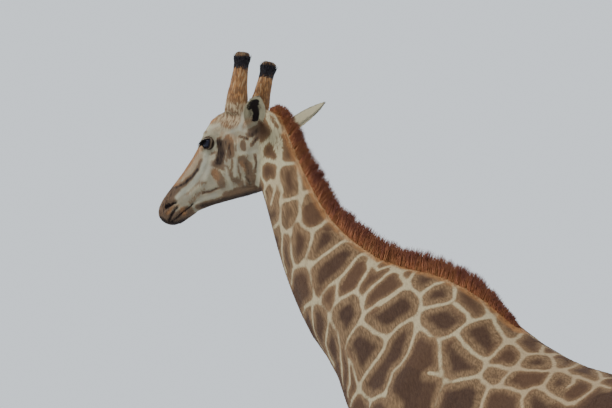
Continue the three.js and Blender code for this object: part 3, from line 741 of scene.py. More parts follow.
WARM = {
    "nose_top": ([(201, 147), (195, 154), (189, 162), (184, 170), (179, 177), (175, 183)], 3.4, 3.0, 0.66),
    "nose_tan": ([(199, 156), (192, 166), (184, 177)], 3.0, 4.0, 0.40),
    "nose_tip": ([(170, 190), (164, 204), (160, 214)], 3.0, 2.5, 0.16),
    "temple": ([(223, 135), (230, 136), (236, 140)], 3.6, 2.5, 0.34),
    "blotch": ([(230, 144), (232, 154)], 2.2, 3.0, 0.22),
    "cheek": ([(214, 171), (217, 178)], 3.0, 3.0, 0.40),
    "cheek_low": ([(242, 162), (244, 170)], 1.6, 3.0, 0.35),
    "forehead": ([(213, 121), (219, 114), (224, 108)], 4.5, 4.0, 0.50),
    "brow_top": ([(215, 126), (222, 122), (229, 120)], 3.0, 4.0, 0.42),
    "poll": ([(246, 118), (252, 112), (262, 104)], 7.0, 5.0, 0.55),
    "forehead_spot": ([(211, 123), (213, 120.5), (215.5, 118.5)], 1.5, 1.0, 1.0),
    # Along the raised wing of the nostril, warm brown is painted partly as a painted highlight on its ridge.
    "nostril_wing": ([(167, 213), (171, 209), (178, 205)], 1.5, 2.0, 0.5),
    "lip": ([(182, 209), (184, 213)], 2.4, 2.5, 0.5),
    "mane_foot": ([(268, 105), (273, 112)], 3.0, 2.5, 0.6),
}
DARK = {
    # The nostrils, the crease of the lip, the line of the mouth and the fold of the cheek are painted dark as painted
    # shade in their hollows and creases.
    "nostril": ([(166.5, 207.6), (170, 205.4), (175.5, 202.8)], 1.1, 1.0, 1.0),
    "nostril_front": ([(166.5, 206.5), (168.5, 205)], 1.8, 1.2, 0.85),
    "lip_crease": ([(177, 207), (174, 211.5), (171, 216.5), (169, 220)], 1.6, 2.0, 0.75),
    "mouth": ([(172, 221), (177, 217.5), (183, 212.5), (188, 208), (193, 204)], 0.9, 1.2, 0.75),
    "chin": ([(160, 218), (165, 222), (173, 223), (182, 222), (189, 218)], 2.2, 3.2, 0.70),
    "jaw": ([(203, 205.5), (213, 203), (226, 199.5), (240, 196), (256, 192)], 2.4, 4.0, 0.60),
    "jaw_corner": ([(244, 187), (255, 186)], 1.5, 4.0, 0.50),
    "blotch": ([(219, 143), (221, 152), (219.5, 161)], 4.4, 4.6, 0.60),
    "blotch_two": ([(229.5, 145), (230, 155)], 2.4, 3.4, 0.46),
    "blotch_three": ([(226, 142), (227, 146)], 1.2, 2.0, 0.45),
    "below_ear": ([(252, 135), (258, 130), (264, 124)], 2.8, 3.4, 0.50),
    "below_ear_two": ([(253, 144), (258, 137)], 1.3, 1.6, 0.55),
    "cheek_spot": ([(245.5, 138), (246.5, 139)], 1.0, 1.4, 0.6),
    "cheek_streak": ([(245, 176), (250, 184)], 2.2, 3.0, 0.48),
    "cheek_rear": ([(246, 163), (249, 174)], 1.6, 3.0, 0.40),
    "cheek_rear_two": ([(255, 157), (256, 168)], 0.8, 1.6, 0.45),
    "nose_stripe": ([(176, 187.5), (185, 182.5), (193, 176), (198, 169)], 1.4, 2.0, 0.62),
    "nose_end": ([(172, 189), (165, 203), (161, 213)], 3.2, 4.0, 0.46),
    "cheek_shade": ([(203, 193.5), (210, 191.5), (217, 188.8)], 0.8, 1.4, 0.6),
}
PALE = {
    "under_eye": ([(206, 153), (205, 162), (201, 172), (195, 181), (187, 189), (177, 197)], 2.2, 2.4, 0.9),
    "under_eye_wide": ([(209, 158), (208, 168), (205, 178)], 2.6, 4.0, 0.5),
    "brow": ([(207, 128), (213, 127), (219, 125)], 2.0, 2.5, 0.75),
    "eye_rear": ([(213, 149), (216, 143)], 1.1, 1.6, 0.7),
    "before_ear": ([(243, 114), (242.5, 122), (240, 129)], 1.7, 2.4, 0.9),
    "before_ear_low": ([(240, 129), (233, 131), (226, 133), (222, 139)], 0.9, 2.6, 0.6),
    "before_ear_two": ([(239, 128), (246, 131)], 1.8, 2.6, 0.6),
    "cheek_gap": ([(235.5, 160), (234.5, 176)], 1.1, 2.4, 0.7),
    "cheek_gap_two": ([(240, 153), (249, 153), (257, 151)], 1.4, 2.8, 0.6),
    "cheek_gap_three": ([(259, 156), (259, 170), (257, 184)], 1.6, 2.2, 0.8),
    "cheek_gap_four": ([(237, 140), (238, 152)], 0.6, 1.8, 0.6),
    "cheek_gap_five": ([(225.5, 168), (228, 178), (232, 188)], 1.2, 2.6, 0.6),
    "cheek_gap_six": ([(243.5, 176), (245, 186)], 0.5, 1.6, 0.5),
    "lower_jaw": ([(196, 202), (205, 198), (216, 195)], 1.6, 2.6, 0.5),
}
EAR_SIDE = {"ear_side": ([(243, 114), (242.5, 122), (240, 129), (233, 131)], 1.7, 2.0, 1.0)}
# Strokes of painted shade: the black hollow of the near ear's cup.
NEAR_EAR_SHADE = {
    "hollow_shade": ([(249, 106), (252, 103.5), (256, 102.5)], 3.5, 1.6, 1.0),
    "hollow_middle": ([(254.5, 106), (256.5, 112), (256, 118)], 3.2, 1.6, 1.0),
    "hollow_foot": ([(256, 117), (253, 121.5), (249, 125.5)], 1.5, 1.4, 0.95),
}


def strokes(group):
    """The strongest of a group of strokes, at each point of the skin."""
    amount = np.zeros(len(skin_points))
    flat = np.stack([x, y], 1) + wobble_fine[:, :2] * 1.0
    for path, reach, soft, strength in group.values():
        gap = np.full(len(x), 999.0)
        for start, end in zip(path[:-1], path[1:]):
            gap = np.minimum(gap, span_gap(flat, np.array(start, float), np.array(end, float)))
        amount = np.maximum(amount, strength * (1 - ramp(gap, reach - soft * 0.6, reach + soft * 0.65)))
    return amount * ramp(facing, -0.12, 0.10)


face = ramp(-head_side, 0.0, 0.02) * (1 - ramp(x + wobble_fine[:, 0] * 2, 257, 262)) * ramp(places[:, 0], 0.03, 0.05)
blotch, warm, dark, pale = (strokes(group) * face for group in (BLOTCHES, WARM, DARK, PALE))
face_edge = (blotch * (1 - 0.8 * pale) - 0.42) * 0.02
edge = edge * (1 - face) + face_edge * face

# The top of the nose is orange, the forehead mottled, and the lips brown all round.
turned_off = face * (1 - ramp(facing, -0.12, 0.10))
warm = np.maximum(warm, turned_off * 0.62 * ramp(places[:, 0], 0.20, 0.27) * (1 - 0.8 * ramp(places[:, 0], 0.44, 0.56)))
edge = edge + turned_off * 0.016 * ramp(places[:, 0], 0.28, 0.40)
forehead = is_head * (1 - ramp(places[:, 0], 0.21, 0.26)) * ramp(places[:, 1], 0.045, 0.075) * (np.abs(places[:, 2]) < 0.13)

# Dark hide around the eyes, closest at the corners.
eye_spots = places.copy()
eye_spots[:, 2] = np.abs(eye_spots[:, 2])
eye_gap = np.linalg.norm((eye_spots - (0.287, 0.038, 0.099)) * (0.86, 1.0, 1.0), axis=1) + wobble_fine[:, 0] * 0.002
dark = np.maximum(dark, 0.20 * (1 - ramp(eye_gap, 0.0255, 0.0385)))

# The hair at the foot of the mane is orange.
CREST = [
    (-1.070, 3.736), (-0.990, 3.700), (-0.940, 3.612), (-0.881, 3.505), (-0.794, 3.376), (-0.708, 3.267),
    (-0.584, 3.164), (-0.418, 3.062), (-0.248, 3.003), (-0.110, 2.957), (0.012, 2.904), (0.112, 2.846),
    (0.202, 2.780), (0.274, 2.720),
]
crest_gap = line_gap(skin_points, [(cx, 0, cz) for cx, cz in CREST])
forehead = forehead * ramp(crest_gap, 0.03, 0.05)
warm = np.maximum(warm, (1 - ramp(crest_gap + wobble_fine[:, 0] * 0.006, 0.030, 0.048)) * 0.8)

# Shanks, belly, inner thighs and the face have a lighter, greyer ground.
grey = face * np.clip(0.82 + 0.18 * ramp(places[:, 0], 0.30, 0.56) + 0.30 * wobble_fine[:, 0] - 0.35 * ramp(places[:, 1], 0.04, 0.12), 0, 1)
low = 1 - ramp(skin_points[:, 2], 0.25, 1.5)
belly = ramp(-normals_of(skin.data)[:, 2], 0.35, 0.8) * ramp(skin_points[:, 2], 1.5, 1.7) * ramp(skin_points[:, 0], -0.40, -0.25)
belly = belly * (1 - ramp(skin_points[:, 0], 0.85, 1.02))
bleached = np.clip(0.75 * low + 0.8 * belly, 0, 1) * (1 - face)
edge = edge - 0.010 * bleached - 0.03 * belly * ramp(wobble[:, 0], -0.2, 0.3)

# The horns of bone are hairy shafts, mottled at the foot and black at the top.
HORN_PARTING = 0.30
HORN_BLACK = 0.73
horn_share, horn_gap = horn_numbers(skin_points)
horn = (horn_gap < 0.066) * ramp(horn_share, 0.02, 0.34) * is_head
crown = horn * ramp(horn_share + wobble_fine[:, 1] * 0.03, 0.880, 0.925)
horn_top = horn * ramp(horn_share + wobble_fine[:, 0] * 0.06, HORN_BLACK - 0.03, HORN_BLACK + 0.04)
warm = warm * (1 - horn) + horn * (0.96 - 0.25 * ramp(wobble_fine[:, 1], -0.1, 0.4)) * (1 - crown)
dark = np.maximum(dark * (1 - horn), horn_top * (1 - 0.50 * crown))
pale = pale * (1 - horn)
grey = grey * (1 - horn) + crown
edge = edge * (1 - horn) + horn * 0.012
mottle = is_head * (1 - ramp(horn_gap, 0.062, 0.100)) * (1 - ramp(horn_share, 0.10, 0.44)) * ramp(horn_share, -0.36, -0.12)
mottle = np.maximum(mottle, forehead) * (1 - ramp(strokes(EAR_SIDE), 0.2, 0.6))
warm = np.maximum(warm, 0.34 * mottle)
tan = ramp(skin_points[:, 0], -0.05, 0.45) * ramp(normals_of(skin.data)[:, 2], 0.0, 0.55) * ramp(skin_points[:, 2], 1.9, 2.2)
tan = np.maximum(tan, 0.5 * ramp(skin_points[:, 2], 2.2, 2.6) * (1 - is_head))

# Ears: a leaf rolled into a cup, pale-rimmed; the hollow of the cup is painted black as painted shade.
EAR_LENGTH = 0.236
EARS = {
    1: ((0.106, -0.034, 0.090), (-0.67, -0.07, 0.74), (-0.3, -0.5, 0.81)),
    -1: ((0.104, -0.045, 0.092), (-0.85, 0.21, 0.48), (0.38, -0.46, 0.81)),
}
hollow_shade = np.zeros(len(skin_points))
ear_out = np.zeros(len(skin_points))
head_normals = face_normals * np.where(places[:, 2:3] < 0, (1, 1, -1), (1, 1, 1))
for side, (root, aim, open_to) in EARS.items():
    mirror = np.array((1, 1, side))
    root, aim, open_to = np.array(root) * mirror, np.array(aim) * mirror, np.array(open_to) * mirror
    aim = aim / np.linalg.norm(aim)
    open_to = open_to - aim * (open_to @ aim)
    open_to = open_to / np.linalg.norm(open_to)
    away = places - root
    along = away @ aim / EAR_LENGTH
    across = away @ np.cross(aim, open_to)
    part = is_head & (along > 0.12) & (along < 1.2) & (np.abs(across) < 0.075) & (np.linalg.norm(away, axis=1) < 0.30)
    part &= ((places[:, 2] * side > 0.100) | (along > 0.45)) & (horn < 0.01)
    # The inner side of each cup is painted black towards its middle, as painted shade in the hollow.
    inside = ramp(head_normals @ open_to, -0.1, 0.35)
    bowl = np.hypot((along - 0.46) / 0.40, (across - 0.003) / 0.030) + wobble_fine[:, 0] * 0.12
    deep = 1 - ramp(bowl, 0.62, 1.12)
    if side > 0:
        deep = np.maximum(strokes(NEAR_EAR_SHADE), 0.46 * deep)
    hollow_shade = np.where(part, inside * deep, hollow_shade)
    ear_out = np.where(part, ramp(along, 0.12, 0.25), ear_out)
    tip = part * ramp(along, 0.86, 0.98)
    dark = np.where(part, np.maximum(hollow_shade, 0.5 * tip), dark)
flat_x, flat_y = picture_place(skin_points)
# The lower rim of the far ear is painted dark: partly painted shade on its underside, partly the dark hair of its edge.
FAR_EAR_RIM = [(328.5, 101), (319, 111.5), (315, 117), (307, 127)]
rim_gap = np.full(len(flat_x), 99.0)
for start, end in zip(FAR_EAR_RIM[:-1], FAR_EAR_RIM[1:]):
    rim_gap = np.minimum(rim_gap, span_gap(np.stack([flat_x, flat_y], 1), np.array(start), np.array(end)))
dark = np.where((ear_out > 0) & (places[:, 2] < 0), np.maximum(dark, 0.9 * (1 - ramp(rim_gap, 0.6, 2.6))), dark)
edge = edge * (1 - ear_out) - 0.012 * ear_out
grey = grey * (1 - ear_out) + 0.40 * ear_out
warm = warm * (1 - ear_out)
pale = pale * (1 - ear_out) + 0.55 * ear_out * (1 - hollow_shade)


def keep_numbers(mesh, name, values):
    layer = mesh.attributes.new(name, "FLOAT", "POINT")
    layer.data.foreach_set("value", np.ascontiguousarray(values, np.float32))


mottle = mottle * (1 - ear_out)
MARKS = {"edge": edge, "tone": tone, "warm": warm, "dark": dark, "pale": pale, "grey": grey, "mottle": mottle, "tan": tan}
for name, values in MARKS.items():
    keep_numbers(skin.data, name, values)

# Hide: short hair over skin. Its colours follow the marks, and streaks run with
# the lie of the hair.
CREAM = (0.335, 0.304, 0.192, 1)
CREAM_TAN = (0.270, 0.200, 0.118, 1)
CREAM_GREY = (0.152, 0.139, 0.105, 1)
PATCH_BROWN = (0.073, 0.045, 0.024, 1)
PATCH_LIGHT = (0.163, 0.103, 0.055, 1)
PATCH_DEEP = (0.022, 0.010, 0.008, 1)
ORANGE_BROWN = (0.255, 0.120, 0.045, 1)
NEAR_BLACK = (0.008, 0.005, 0.005, 1)
NECK_LIE = Vector((0.47, 0, -0.88))
FACE_LIE = (HEAD_AHEAD * 0.54 - HEAD_UP * 0.84).normalized()
HORN_LIE = (HEAD_UP * 0.72 - HEAD_AHEAD * 0.69).normalized()


def node_kit(material):
    """Short ways to add and join nodes of a material."""
    nodes, links = material.node_tree.nodes, material.node_tree.links

    def put(socket, value):
        if isinstance(value, bpy.types.NodeSocket):
            links.new(value, socket)
        else:
            socket.default_value = value

    def add(kind, **inputs):
        node = nodes.new(kind)
        for key, value in inputs.items():
            put(node.inputs[key.replace("_", " ")], value)
        return node

    def number(name):
        node = nodes.new("ShaderNodeAttribute")
        node.attribute_name = name
        return node.outputs["Fac"]

    def blend(share, a, b, mode="MIX"):
        node = nodes.new("ShaderNodeMix")
        node.data_type = "RGBA"
        node.blend_type = mode
        put(node.inputs["Factor"], share)
        put(node.inputs["A"], a)
        put(node.inputs["B"], b)
        return node.outputs["Result"]

    def sum_of(kind, a, b):
        node = nodes.new("ShaderNodeMath")
        node.operation = kind
        put(node.inputs[0], a)
        put(node.inputs[1], b)
        return node.outputs[0]

    def step(value, low, high, to_low=0.0, to_high=1.0):
        node = nodes.new("ShaderNodeMapRange")
        node.interpolation_type = "SMOOTHSTEP"
        for key, number_in in (("Value", value), ("From Min", low), ("From Max", high), ("To Min", to_low), ("To Max", to_high)):
            put(node.inputs[key], number_in)
        return node.outputs["Result"]

    return nodes, links, add, number, blend, sum_of, step


def streaks(material, along, length, width, detail=3.0):
    """Noise drawn out along a direction, for hair that lies that way."""
    nodes, links = material.node_tree.nodes, material.node_tree.links
    along = along.normalized()
    side = along.orthogonal().normalized()
    turn = Matrix((along, side, along.cross(side))).transposed()
    place = nodes.new("ShaderNodeTexCoord")
    mapping = nodes.new("ShaderNodeMapping")
    mapping.vector_type = "TEXTURE"
    mapping.inputs["Rotation"].default_value = turn.to_euler()
    mapping.inputs["Scale"].default_value = (length, width, width)
    grain = nodes.new("ShaderNodeTexNoise")
    grain.inputs["Scale"].default_value = 1.0
    grain.inputs["Detail"].default_value = detail
    links.new(place.outputs["Object"], mapping.inputs["Vector"])
    links.new(mapping.outputs["Vector"], grain.inputs["Vector"])
    return grain.outputs["Fac"]


def hide_material(name, bump=True):
    material = bpy.data.materials.new(name)
    material.use_nodes = True
    nodes, links, add, number, blend, sum_of, step = node_kit(material)
    shader = nodes["Principled BSDF"]
    shader.inputs["Roughness"].default_value = 0.75
    shader.inputs["Specular IOR Level"].default_value = 0.07
    face_grain = streaks(material, FACE_LIE, 0.034, 0.0042)
    neck_grain = streaks(material, NECK_LIE, 0.050, 0.0060)
    on_face = number("on_face")
    grain = nodes.new("ShaderNodeMix")
    grain.data_type = "FLOAT"
    links.new(on_face, grain.inputs["Factor"])
    links.new(neck_grain, grain.inputs["A"])
    links.new(face_grain, grain.inputs["B"])
    grain = grain.outputs["Result"]
    off = sum_of("MULTIPLY", sum_of("SUBTRACT", grain, 0.5), sum_of("ADD", sum_of("MULTIPLY", on_face, 0.0200), 0.0065))
    margin = sum_of("ADD", number("edge"), off)
    patch = step(margin, -0.0042, 0.0040)
    heart = step(sum_of("ADD", margin, sum_of("MULTIPLY", sum_of("SUBTRACT", number("tone"), 0.5), 0.026)), 0.005, 0.034)
    heart = sum_of("MAXIMUM", heart, sum_of("MULTIPLY", step(margin, 0.003, 0.017), sum_of("MULTIPLY", on_face, 0.75)))
    cream = blend(number("grey"), blend(number("tan"), CREAM, CREAM_TAN), CREAM_GREY)
    cream = blend(step(grain, 0.30, 0.75, 0.0, 0.40), cream, (0.19, 0.15, 0.095, 1))
    brown = blend(step(grain, 0.28, 0.72), PATCH_BROWN, PATCH_LIGHT)
    brown = blend(sum_of("MULTIPLY", heart, 0.84), brown, PATCH_DEEP)
    brown = blend(sum_of("MULTIPLY", number("tone"), 0.22), brown, (0.16, 0.085, 0.042, 1))
    brown = blend(sum_of("MULTIPLY", number("grey"), 0.45), brown, (0.065, 0.052, 0.042, 1))
    colour = blend(patch, cream, brown)
    orange = blend(step(grain, 0.40, 0.70), ORANGE_BROWN, (0.115, 0.052, 0.024, 1))
    orange = blend(step(grain, 0.32, 0.46, 0.30, 0.0), orange, (0.34, 0.205, 0.10, 1))
    colour = blend(sum_of("MULTIPLY", number("warm"), 0.92), colour, orange)
    flecks = streaks(material, HORN_LIE, 0.034, 0.0075, 2.0)
    fleck = sum_of("MULTIPLY", number("mottle"), step(flecks, 0.49, 0.57))
    ground = sum_of("MULTIPLY", number("mottle"), step(flecks, 0.36, 0.46, 0.42, 0.0))
    colour = blend(ground, colour, (0.32, 0.25, 0.145, 1))
    colour = blend(sum_of("MULTIPLY", fleck, 0.80), colour, (0.095, 0.052, 0.028, 1))
    colour = blend(sum_of("MULTIPLY", number("pale"), 0.85), colour, blend(number("grey"), (0.39, 0.345, 0.215, 1), (0.228, 0.227, 0.182, 1)))
    colour = blend(step(sum_of("ADD", number("dark"), sum_of("MULTIPLY", sum_of("SUBTRACT", grain, 0.5), 1.0)), 0.12, 0.82), colour, NEAR_BLACK)
    if not bump:
        dim = nodes.new("ShaderNodeVectorMath")
        dim.operation = "SCALE"
        links.new(colour, dim.inputs[0])
        links.new(step(number("shade"), 0.0, 1.0, 0.84, 1.16), dim.inputs["Scale"])
        colour = dim.outputs["Vector"]
    links.new(colour, shader.inputs["Base Color"])
    if bump:
        fine = streaks(material, NECK_LIE, 0.016, 0.0018, 2.0)
        rise = add("ShaderNodeBump", Strength=0.55, Distance=0.0035)
        links.new(sum_of("ADD", sum_of("MULTIPLY", grain, 0.7), sum_of("MULTIPLY", fine, 0.5)), rise.inputs["Height"])
        links.new(rise.outputs["Normal"], shader.inputs["Normal"])
    return material


keep_numbers(skin.data, "on_face", ramp(-head_side, 0.0, 0.10))
MARKS["on_face"] = ramp(-head_side, 0.0, 0.10)
hide = hide_material("hide")
skin.data.materials.append(hide)

# ---------------------------------------------------------------- horns
# A giraffe's horns are bone under hairy skin, one behind each eye. Each is a
# closed shaft of its own, parted from the skin of the head low down, and its
# bald grey crown stands out of a ring of black hair.

bpy.context.view_layer.objects.active = skin
skin.data.update()
grow_points = skin_points.copy()
grow_normals = normals_of(skin.data)
grow_faces = np.array([tuple(p.vertices)[:4] if len(p.vertices) > 3 else tuple(p.vertices) + (p.vertices[0],) for p in skin.data.polygons])


def select_only(piece):
    bpy.ops.object.select_all(action="DESELECT")
    piece.select_set(True)
    bpy.context.view_layer.objects.active = piece


def select_faces(piece, chosen):
    """Leaves exactly these faces of the piece selected, in edit mode."""
    select_only(piece)
    bpy.ops.object.mode_set(mode="EDIT")
    bpy.ops.mesh.select_mode(type="FACE")
    bpy.ops.mesh.select_all(action="DESELECT")
    bpy.ops.object.mode_set(mode="OBJECT")
    piece.data.polygons.foreach_set("select", np.asarray(chosen, bool))
    bpy.ops.object.mode_set(mode="EDIT")


def face_centres(mesh):
    out = np.empty(len(mesh.polygons) * 3, np.float32)
    mesh.polygons.foreach_get("center", out)
    return out.reshape(-1, 3).astype(float)


def close_holes(piece):
    select_only(piece)
    bpy.ops.object.mode_set(mode="EDIT")
    bpy.ops.mesh.select_all(action="SELECT")
    bpy.ops.mesh.fill_holes(sides=0)
    bpy.ops.object.mode_set(mode="OBJECT")
    for polygon in piece.data.polygons:
        if len(polygon.vertices) > 8:
            polygon.use_smooth = False
            for corner in polygon.loop_indices:
                piece.data.edges[piece.data.loops[corner].edge_index].use_edge_sharp = True


horns = []
for side, word in ((1, "left"), (-1, "right")):
    foot = off_head((HORN_FOOT + horn_axis * horn_length * HORN_PARTING)[None] * (1, 1, side))[0]
    tip = off_head((HORN_FOOT + horn_axis * horn_length)[None] * (1, 1, side))[0]
    axis = (tip - foot) / np.linalg.norm(tip - foot)
    share, gap = horn_numbers(face_centres(skin.data), side)
    select_faces(skin, (share > 0.15) & (share < 0.5) & (gap < 0.07))
    bpy.ops.mesh.bisect(plane_co=foot, plane_no=axis)
    bpy.ops.object.mode_set(mode="OBJECT")
    share, gap = horn_numbers(face_centres(skin.data), side)
    select_faces(skin, (share > HORN_PARTING) & (share < 1.2) & (gap < 0.07))
    bpy.ops.mesh.separate(type="SELECTED")
    bpy.ops.object.mode_set(mode="OBJECT")
    piece = [o for o in bpy.context.selected_objects if o != skin][0]
    piece.name = "horn_" + word
    piece.data.name = piece.name
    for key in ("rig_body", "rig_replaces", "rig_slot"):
        if key in piece:
            del piece[key]
    close_holes(piece)
    horns.append(piece)
    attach(piece, "root")
    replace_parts(piece, "ossicone_" + word)
    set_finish(piece, "horn")
close_holes(skin)


# The unwrap of the skin: head, each leg, the tail and each ear have a strip of
# their own, and neck and trunk share one, by length and by the turn around it.
def unwrap(points):
    spots = on_head(points)
    head_here = ((points - np.array(THROAT_CUT[0])) @ np.array(THROAT_CUT[1])) < 0
    u = 0.30 + 0.68 * (points[:, 0] + 1.2) / 2.8
    middle = np.interp(points[:, 0], (-1.0, -0.7, -0.4, -0.1, 0.3, 0.8, 1.3), (3.45, 2.95, 2.65, 2.40, 2.20, 2.15, 2.20))
    v = 0.40 + 0.58 * (np.arctan2(points[:, 1], points[:, 2] - middle) / (2 * np.pi) + 0.5)
    u = np.where(head_here, 0.01 + 0.26 * np.clip(spots[:, 0] + 0.2, 0, 0.9) / 0.9, u)
    v = np.where(head_here, 0.62 + 0.36 * (np.arctan2(spots[:, 2], spots[:, 1] + 0.03) / (2 * np.pi) + 0.5), v)
    ear_here = head_here & (spots[:, 0] < 0.16) & (np.abs(spots[:, 2]) > 0.11)
    u = np.where(ear_here, 0.01 + 0.12 * (spots[:, 2] > 0) + 0.11 * np.clip((0.16 - spots[:, 0]) / 0.4, 0, 1), u)
    v = np.where(ear_here, 0.42 + 0.18 * np.clip((spots[:, 1] + 0.15) / 0.5, 0, 1), v)
    leg = points[:, 2] < 1.70
    number = (points[:, 0] > 0.4) * 2 + (points[:, 1] > 0)
    ax = np.where(points[:, 0] > 0.4, 1.17, -0.18)
    ay = np.where(points[:, 1] > 0, 0.20, -0.20)
    turn = np.arctan2(points[:, 1] - ay, points[:, 0] - ax) / (2 * np.pi) + 0.5
    u = np.where(leg, 0.01 + 0.24 * number + 0.22 * turn, u)
    v = np.where(leg, 0.01 + 0.36 * np.clip(points[:, 2], 0, 1.7) / 1.7, v)
    tail_here = (points[:, 0] > 1.30) & (np.abs(points[:, 1]) < 0.06) & (points[:, 2] < 2.2)
    u = np.where(tail_here, 0.27 + 0.02 * (points[:, 1] + 0.06) / 0.12, u)
    v = np.where(tail_here, 0.42 + 0.18 * (points[:, 2] - 0.8) / 1.4, v)
    return np.clip(np.stack([u, v], 1), 0.003, 0.994)


def grown(name, roots, aims, sides, lengths, widths, marks, levels=2, bend=None, thin=0.5, fullness=(1.0, 0.9, 0.6, 0.35), flat=False):
    """A piece of many tufts: each is a closed three-sided spike from its root, bent as it grows."""
    total = len(roots)
    backs = np.cross(aims, sides)
    lengths, widths = np.asarray(lengths)[:, None], np.asarray(widths)[:, None]
    rows = 3 * levels + 1
    corners = np.empty((total, rows, 3))
    shares = np.empty((total, rows))
    for level in range(levels):
        t = level / levels
        centre = roots + aims * lengths * t + (0 if bend is None else bend * t * t)
        for k, turn in enumerate((1.571, 3.665, 5.760)):
            offset = sides * math.cos(turn) + backs * math.sin(turn) * thin
            corners[:, level * 3 + k] = centre + offset * widths * fullness[min(level, len(fullness) - 1)]
            shares[:, level * 3 + k] = t
    corners[:, -1] = roots + aims * lengths + (0 if bend is None else bend)
    shares[:, -1] = 1
    corners = np.clip(corners, np.array(cad_box[0]) + 0.0008, np.array(cad_box[1]) - 0.0008)
    quads = [(l * 3 + k, l * 3 + (k + 1) % 3, l * 3 + 3 + (k + 1) % 3, l * 3 + 3 + k) for l in range(levels - 1) for k in range(3)]
    ends = [((levels - 1) * 3 + k, (levels - 1) * 3 + (k + 1) % 3, rows - 1) for k in range(3)] + [(2, 1, 0)]
    pattern = np.array([v for face in quads + ends for v in face])
    sizes = np.array([len(face) for face in quads + ends])
    loops = (pattern[None] + (np.arange(total) * rows)[:, None]).ravel()
    mesh = bpy.data.meshes.new(name)
    mesh.vertices.add(total * rows)
    mesh.vertices.foreach_set("co", corners.astype(np.float32).ravel())
    mesh.loops.add(len(loops))
    mesh.loops.foreach_set("vertex_index", loops.astype(np.int32))
    starts = np.concatenate([[0], np.cumsum(sizes)[:-1]])
    mesh.polygons.add(total * len(sizes))
    mesh.polygons.foreach_set("loop_start", (starts[None] + (np.arange(total) * len(pattern))[:, None]).astype(np.int32).ravel())
    mesh.polygons.foreach_set("use_smooth", np.full(total * len(sizes), not flat))
    mesh.update(calc_edges=True)
    places_uv = unwrap(roots)
    spread = np.stack([(np.arange(rows) % 3) * 0.0013, shares[0] * 0.0026], 1)
    uv = (places_uv[:, None] + spread[None]).reshape(-1, 2)[loops]
    layer = mesh.uv_layers.new(name="OFBake")
    layer.data.foreach_set("uv", uv.astype(np.float32).ravel())
    keep_numbers(mesh, "share", shares.ravel())
    for key, values in marks.items():
        keep_numbers(mesh, key, np.repeat(values, rows))
    mesh.validate()
    piece = bpy.data.objects.new(name, mesh)
    bpy.context.scene.collection.objects.link(piece)
    return piece


def unit(vectors):
    return vectors / np.maximum(np.linalg.norm(vectors, axis=1), 1e-9)[:, None]


def on_surface(vectors, normals):
    return unit(vectors - normals * np.sum(vectors * normals, 1)[:, None])


# Black hair in a ring around each crown.
dice = np.random.default_rng(7)
roots, aims, sides, lengths, widths = [], [], [], [], []
for side in (1, -1):
    share, gap = horn_numbers(grow_points, side)
    ring = np.nonzero((share > 0.69) & (share < 0.885) & (gap < 0.07))[0]
    chosen = dice.choice(ring, 2400)
    out = grow_normals[chosen]
    axis = unit(off_head((HORN_TIP * (1, 1, side))[None]) - off_head((HORN_FOOT * (1, 1, side))[None]))
    flat = on_surface(np.repeat(axis, len(chosen), 0) + dice.normal(0, 0.16, (len(chosen), 3)), out)
    high = ramp(share[chosen], 0.74, 0.90)[:, None]
    aim = unit(flat + out * (0.16 + 0.30 * high * dice.random((len(chosen), 1))))
    roots.append(grow_points[chosen] - out * 0.001)
    aims.append(aim)
    sides.append(unit(np.cross(aim, out)))
    lengths.append(0.007 + 0.006 * dice.random(len(chosen)) + 0.013 * high[:, 0] * (dice.random(len(chosen)) > 0.93))
    widths.append(0.0008 + 0.0007 * dice.random(len(chosen)))
roots, aims, sides, lengths, widths = (np.concatenate(v) for v in (roots, aims, sides, lengths, widths))
horn_hair = grown("horn_hair", roots, aims, sides, lengths, widths, {"shade": dice.random(len(roots))}, levels=2)


def hair_material(name, foot, middle, tip, split=0.5, gloss=0.45):
    """Long hair: its colour goes from foot to tip, and each lock has its own shade."""
    material = bpy.data.materials.new(name)
    material.use_nodes = True
    nodes, links, add, number, blend, sum_of, step = node_kit(material)
    shader = nodes["Principled BSDF"]
    shader.inputs["Roughness"].default_value = gloss
    shader.inputs["Specular IOR Level"].default_value = 0.08
    along = sum_of("ADD", number("share"), sum_of("MULTIPLY", sum_of("SUBTRACT", number("shade"), 0.5), 0.45))
    colour = blend(step(along, 0.0, split), foot, middle)
    colour = blend(step(along, split, 1.0), colour, tip)
    grain = add("ShaderNodeTexNoise", Scale=260.0, Detail=2.0)
    place = nodes.new("ShaderNodeTexCoord")
    links.new(place.outputs["Object"], grain.inputs["Vector"])
    dim = step(sum_of("ADD", number("shade"), sum_of("MULTIPLY", grain.outputs["Fac"], 0.4)), 0.1, 1.1, 0.62, 1.18)
    shaded = nodes.new("ShaderNodeVectorMath")
    shaded.operation = "SCALE"
    links.new(colour, shaded.inputs[0])
    links.new(dim, shaded.inputs["Scale"])
    links.new(shaded.outputs["Vector"], shader.inputs["Base Color"])
    rise = add("ShaderNodeBump", Strength=0.3, Distance=0.001)
    links.new(grain.outputs["Fac"], rise.inputs["Height"])
    links.new(rise.outputs["Normal"], shader.inputs["Normal"])
    return material


black_hair = hair_material("black_hair", (0.006, 0.006, 0.008, 1), (0.009, 0.008, 0.011, 1), (0.016, 0.015, 0.020, 1))
horn_hair.data.materials.append(black_hair)
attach(horn_hair, "root")
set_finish(horn_hair, "tail_hair")

# ---------------------------------------------------------------- eyes, lids and lashes
# Large dark eyes at the sides of the head, wet and glossy. The lids are part of
# the hide, drawn tight round the ball, with long black lashes on their edge.

EYE_CENTRE = np.array((0.287, 0.038, 0.099))
EYE_RADIUS = 0.0235
GAZE = np.array((0.22, -0.06, 0.97)) / np.linalg.norm((0.22, -0.06, 0.97))


def head_vectors(vectors):
    return off_head(np.atleast_2d(vectors)) - np.array(POLL)


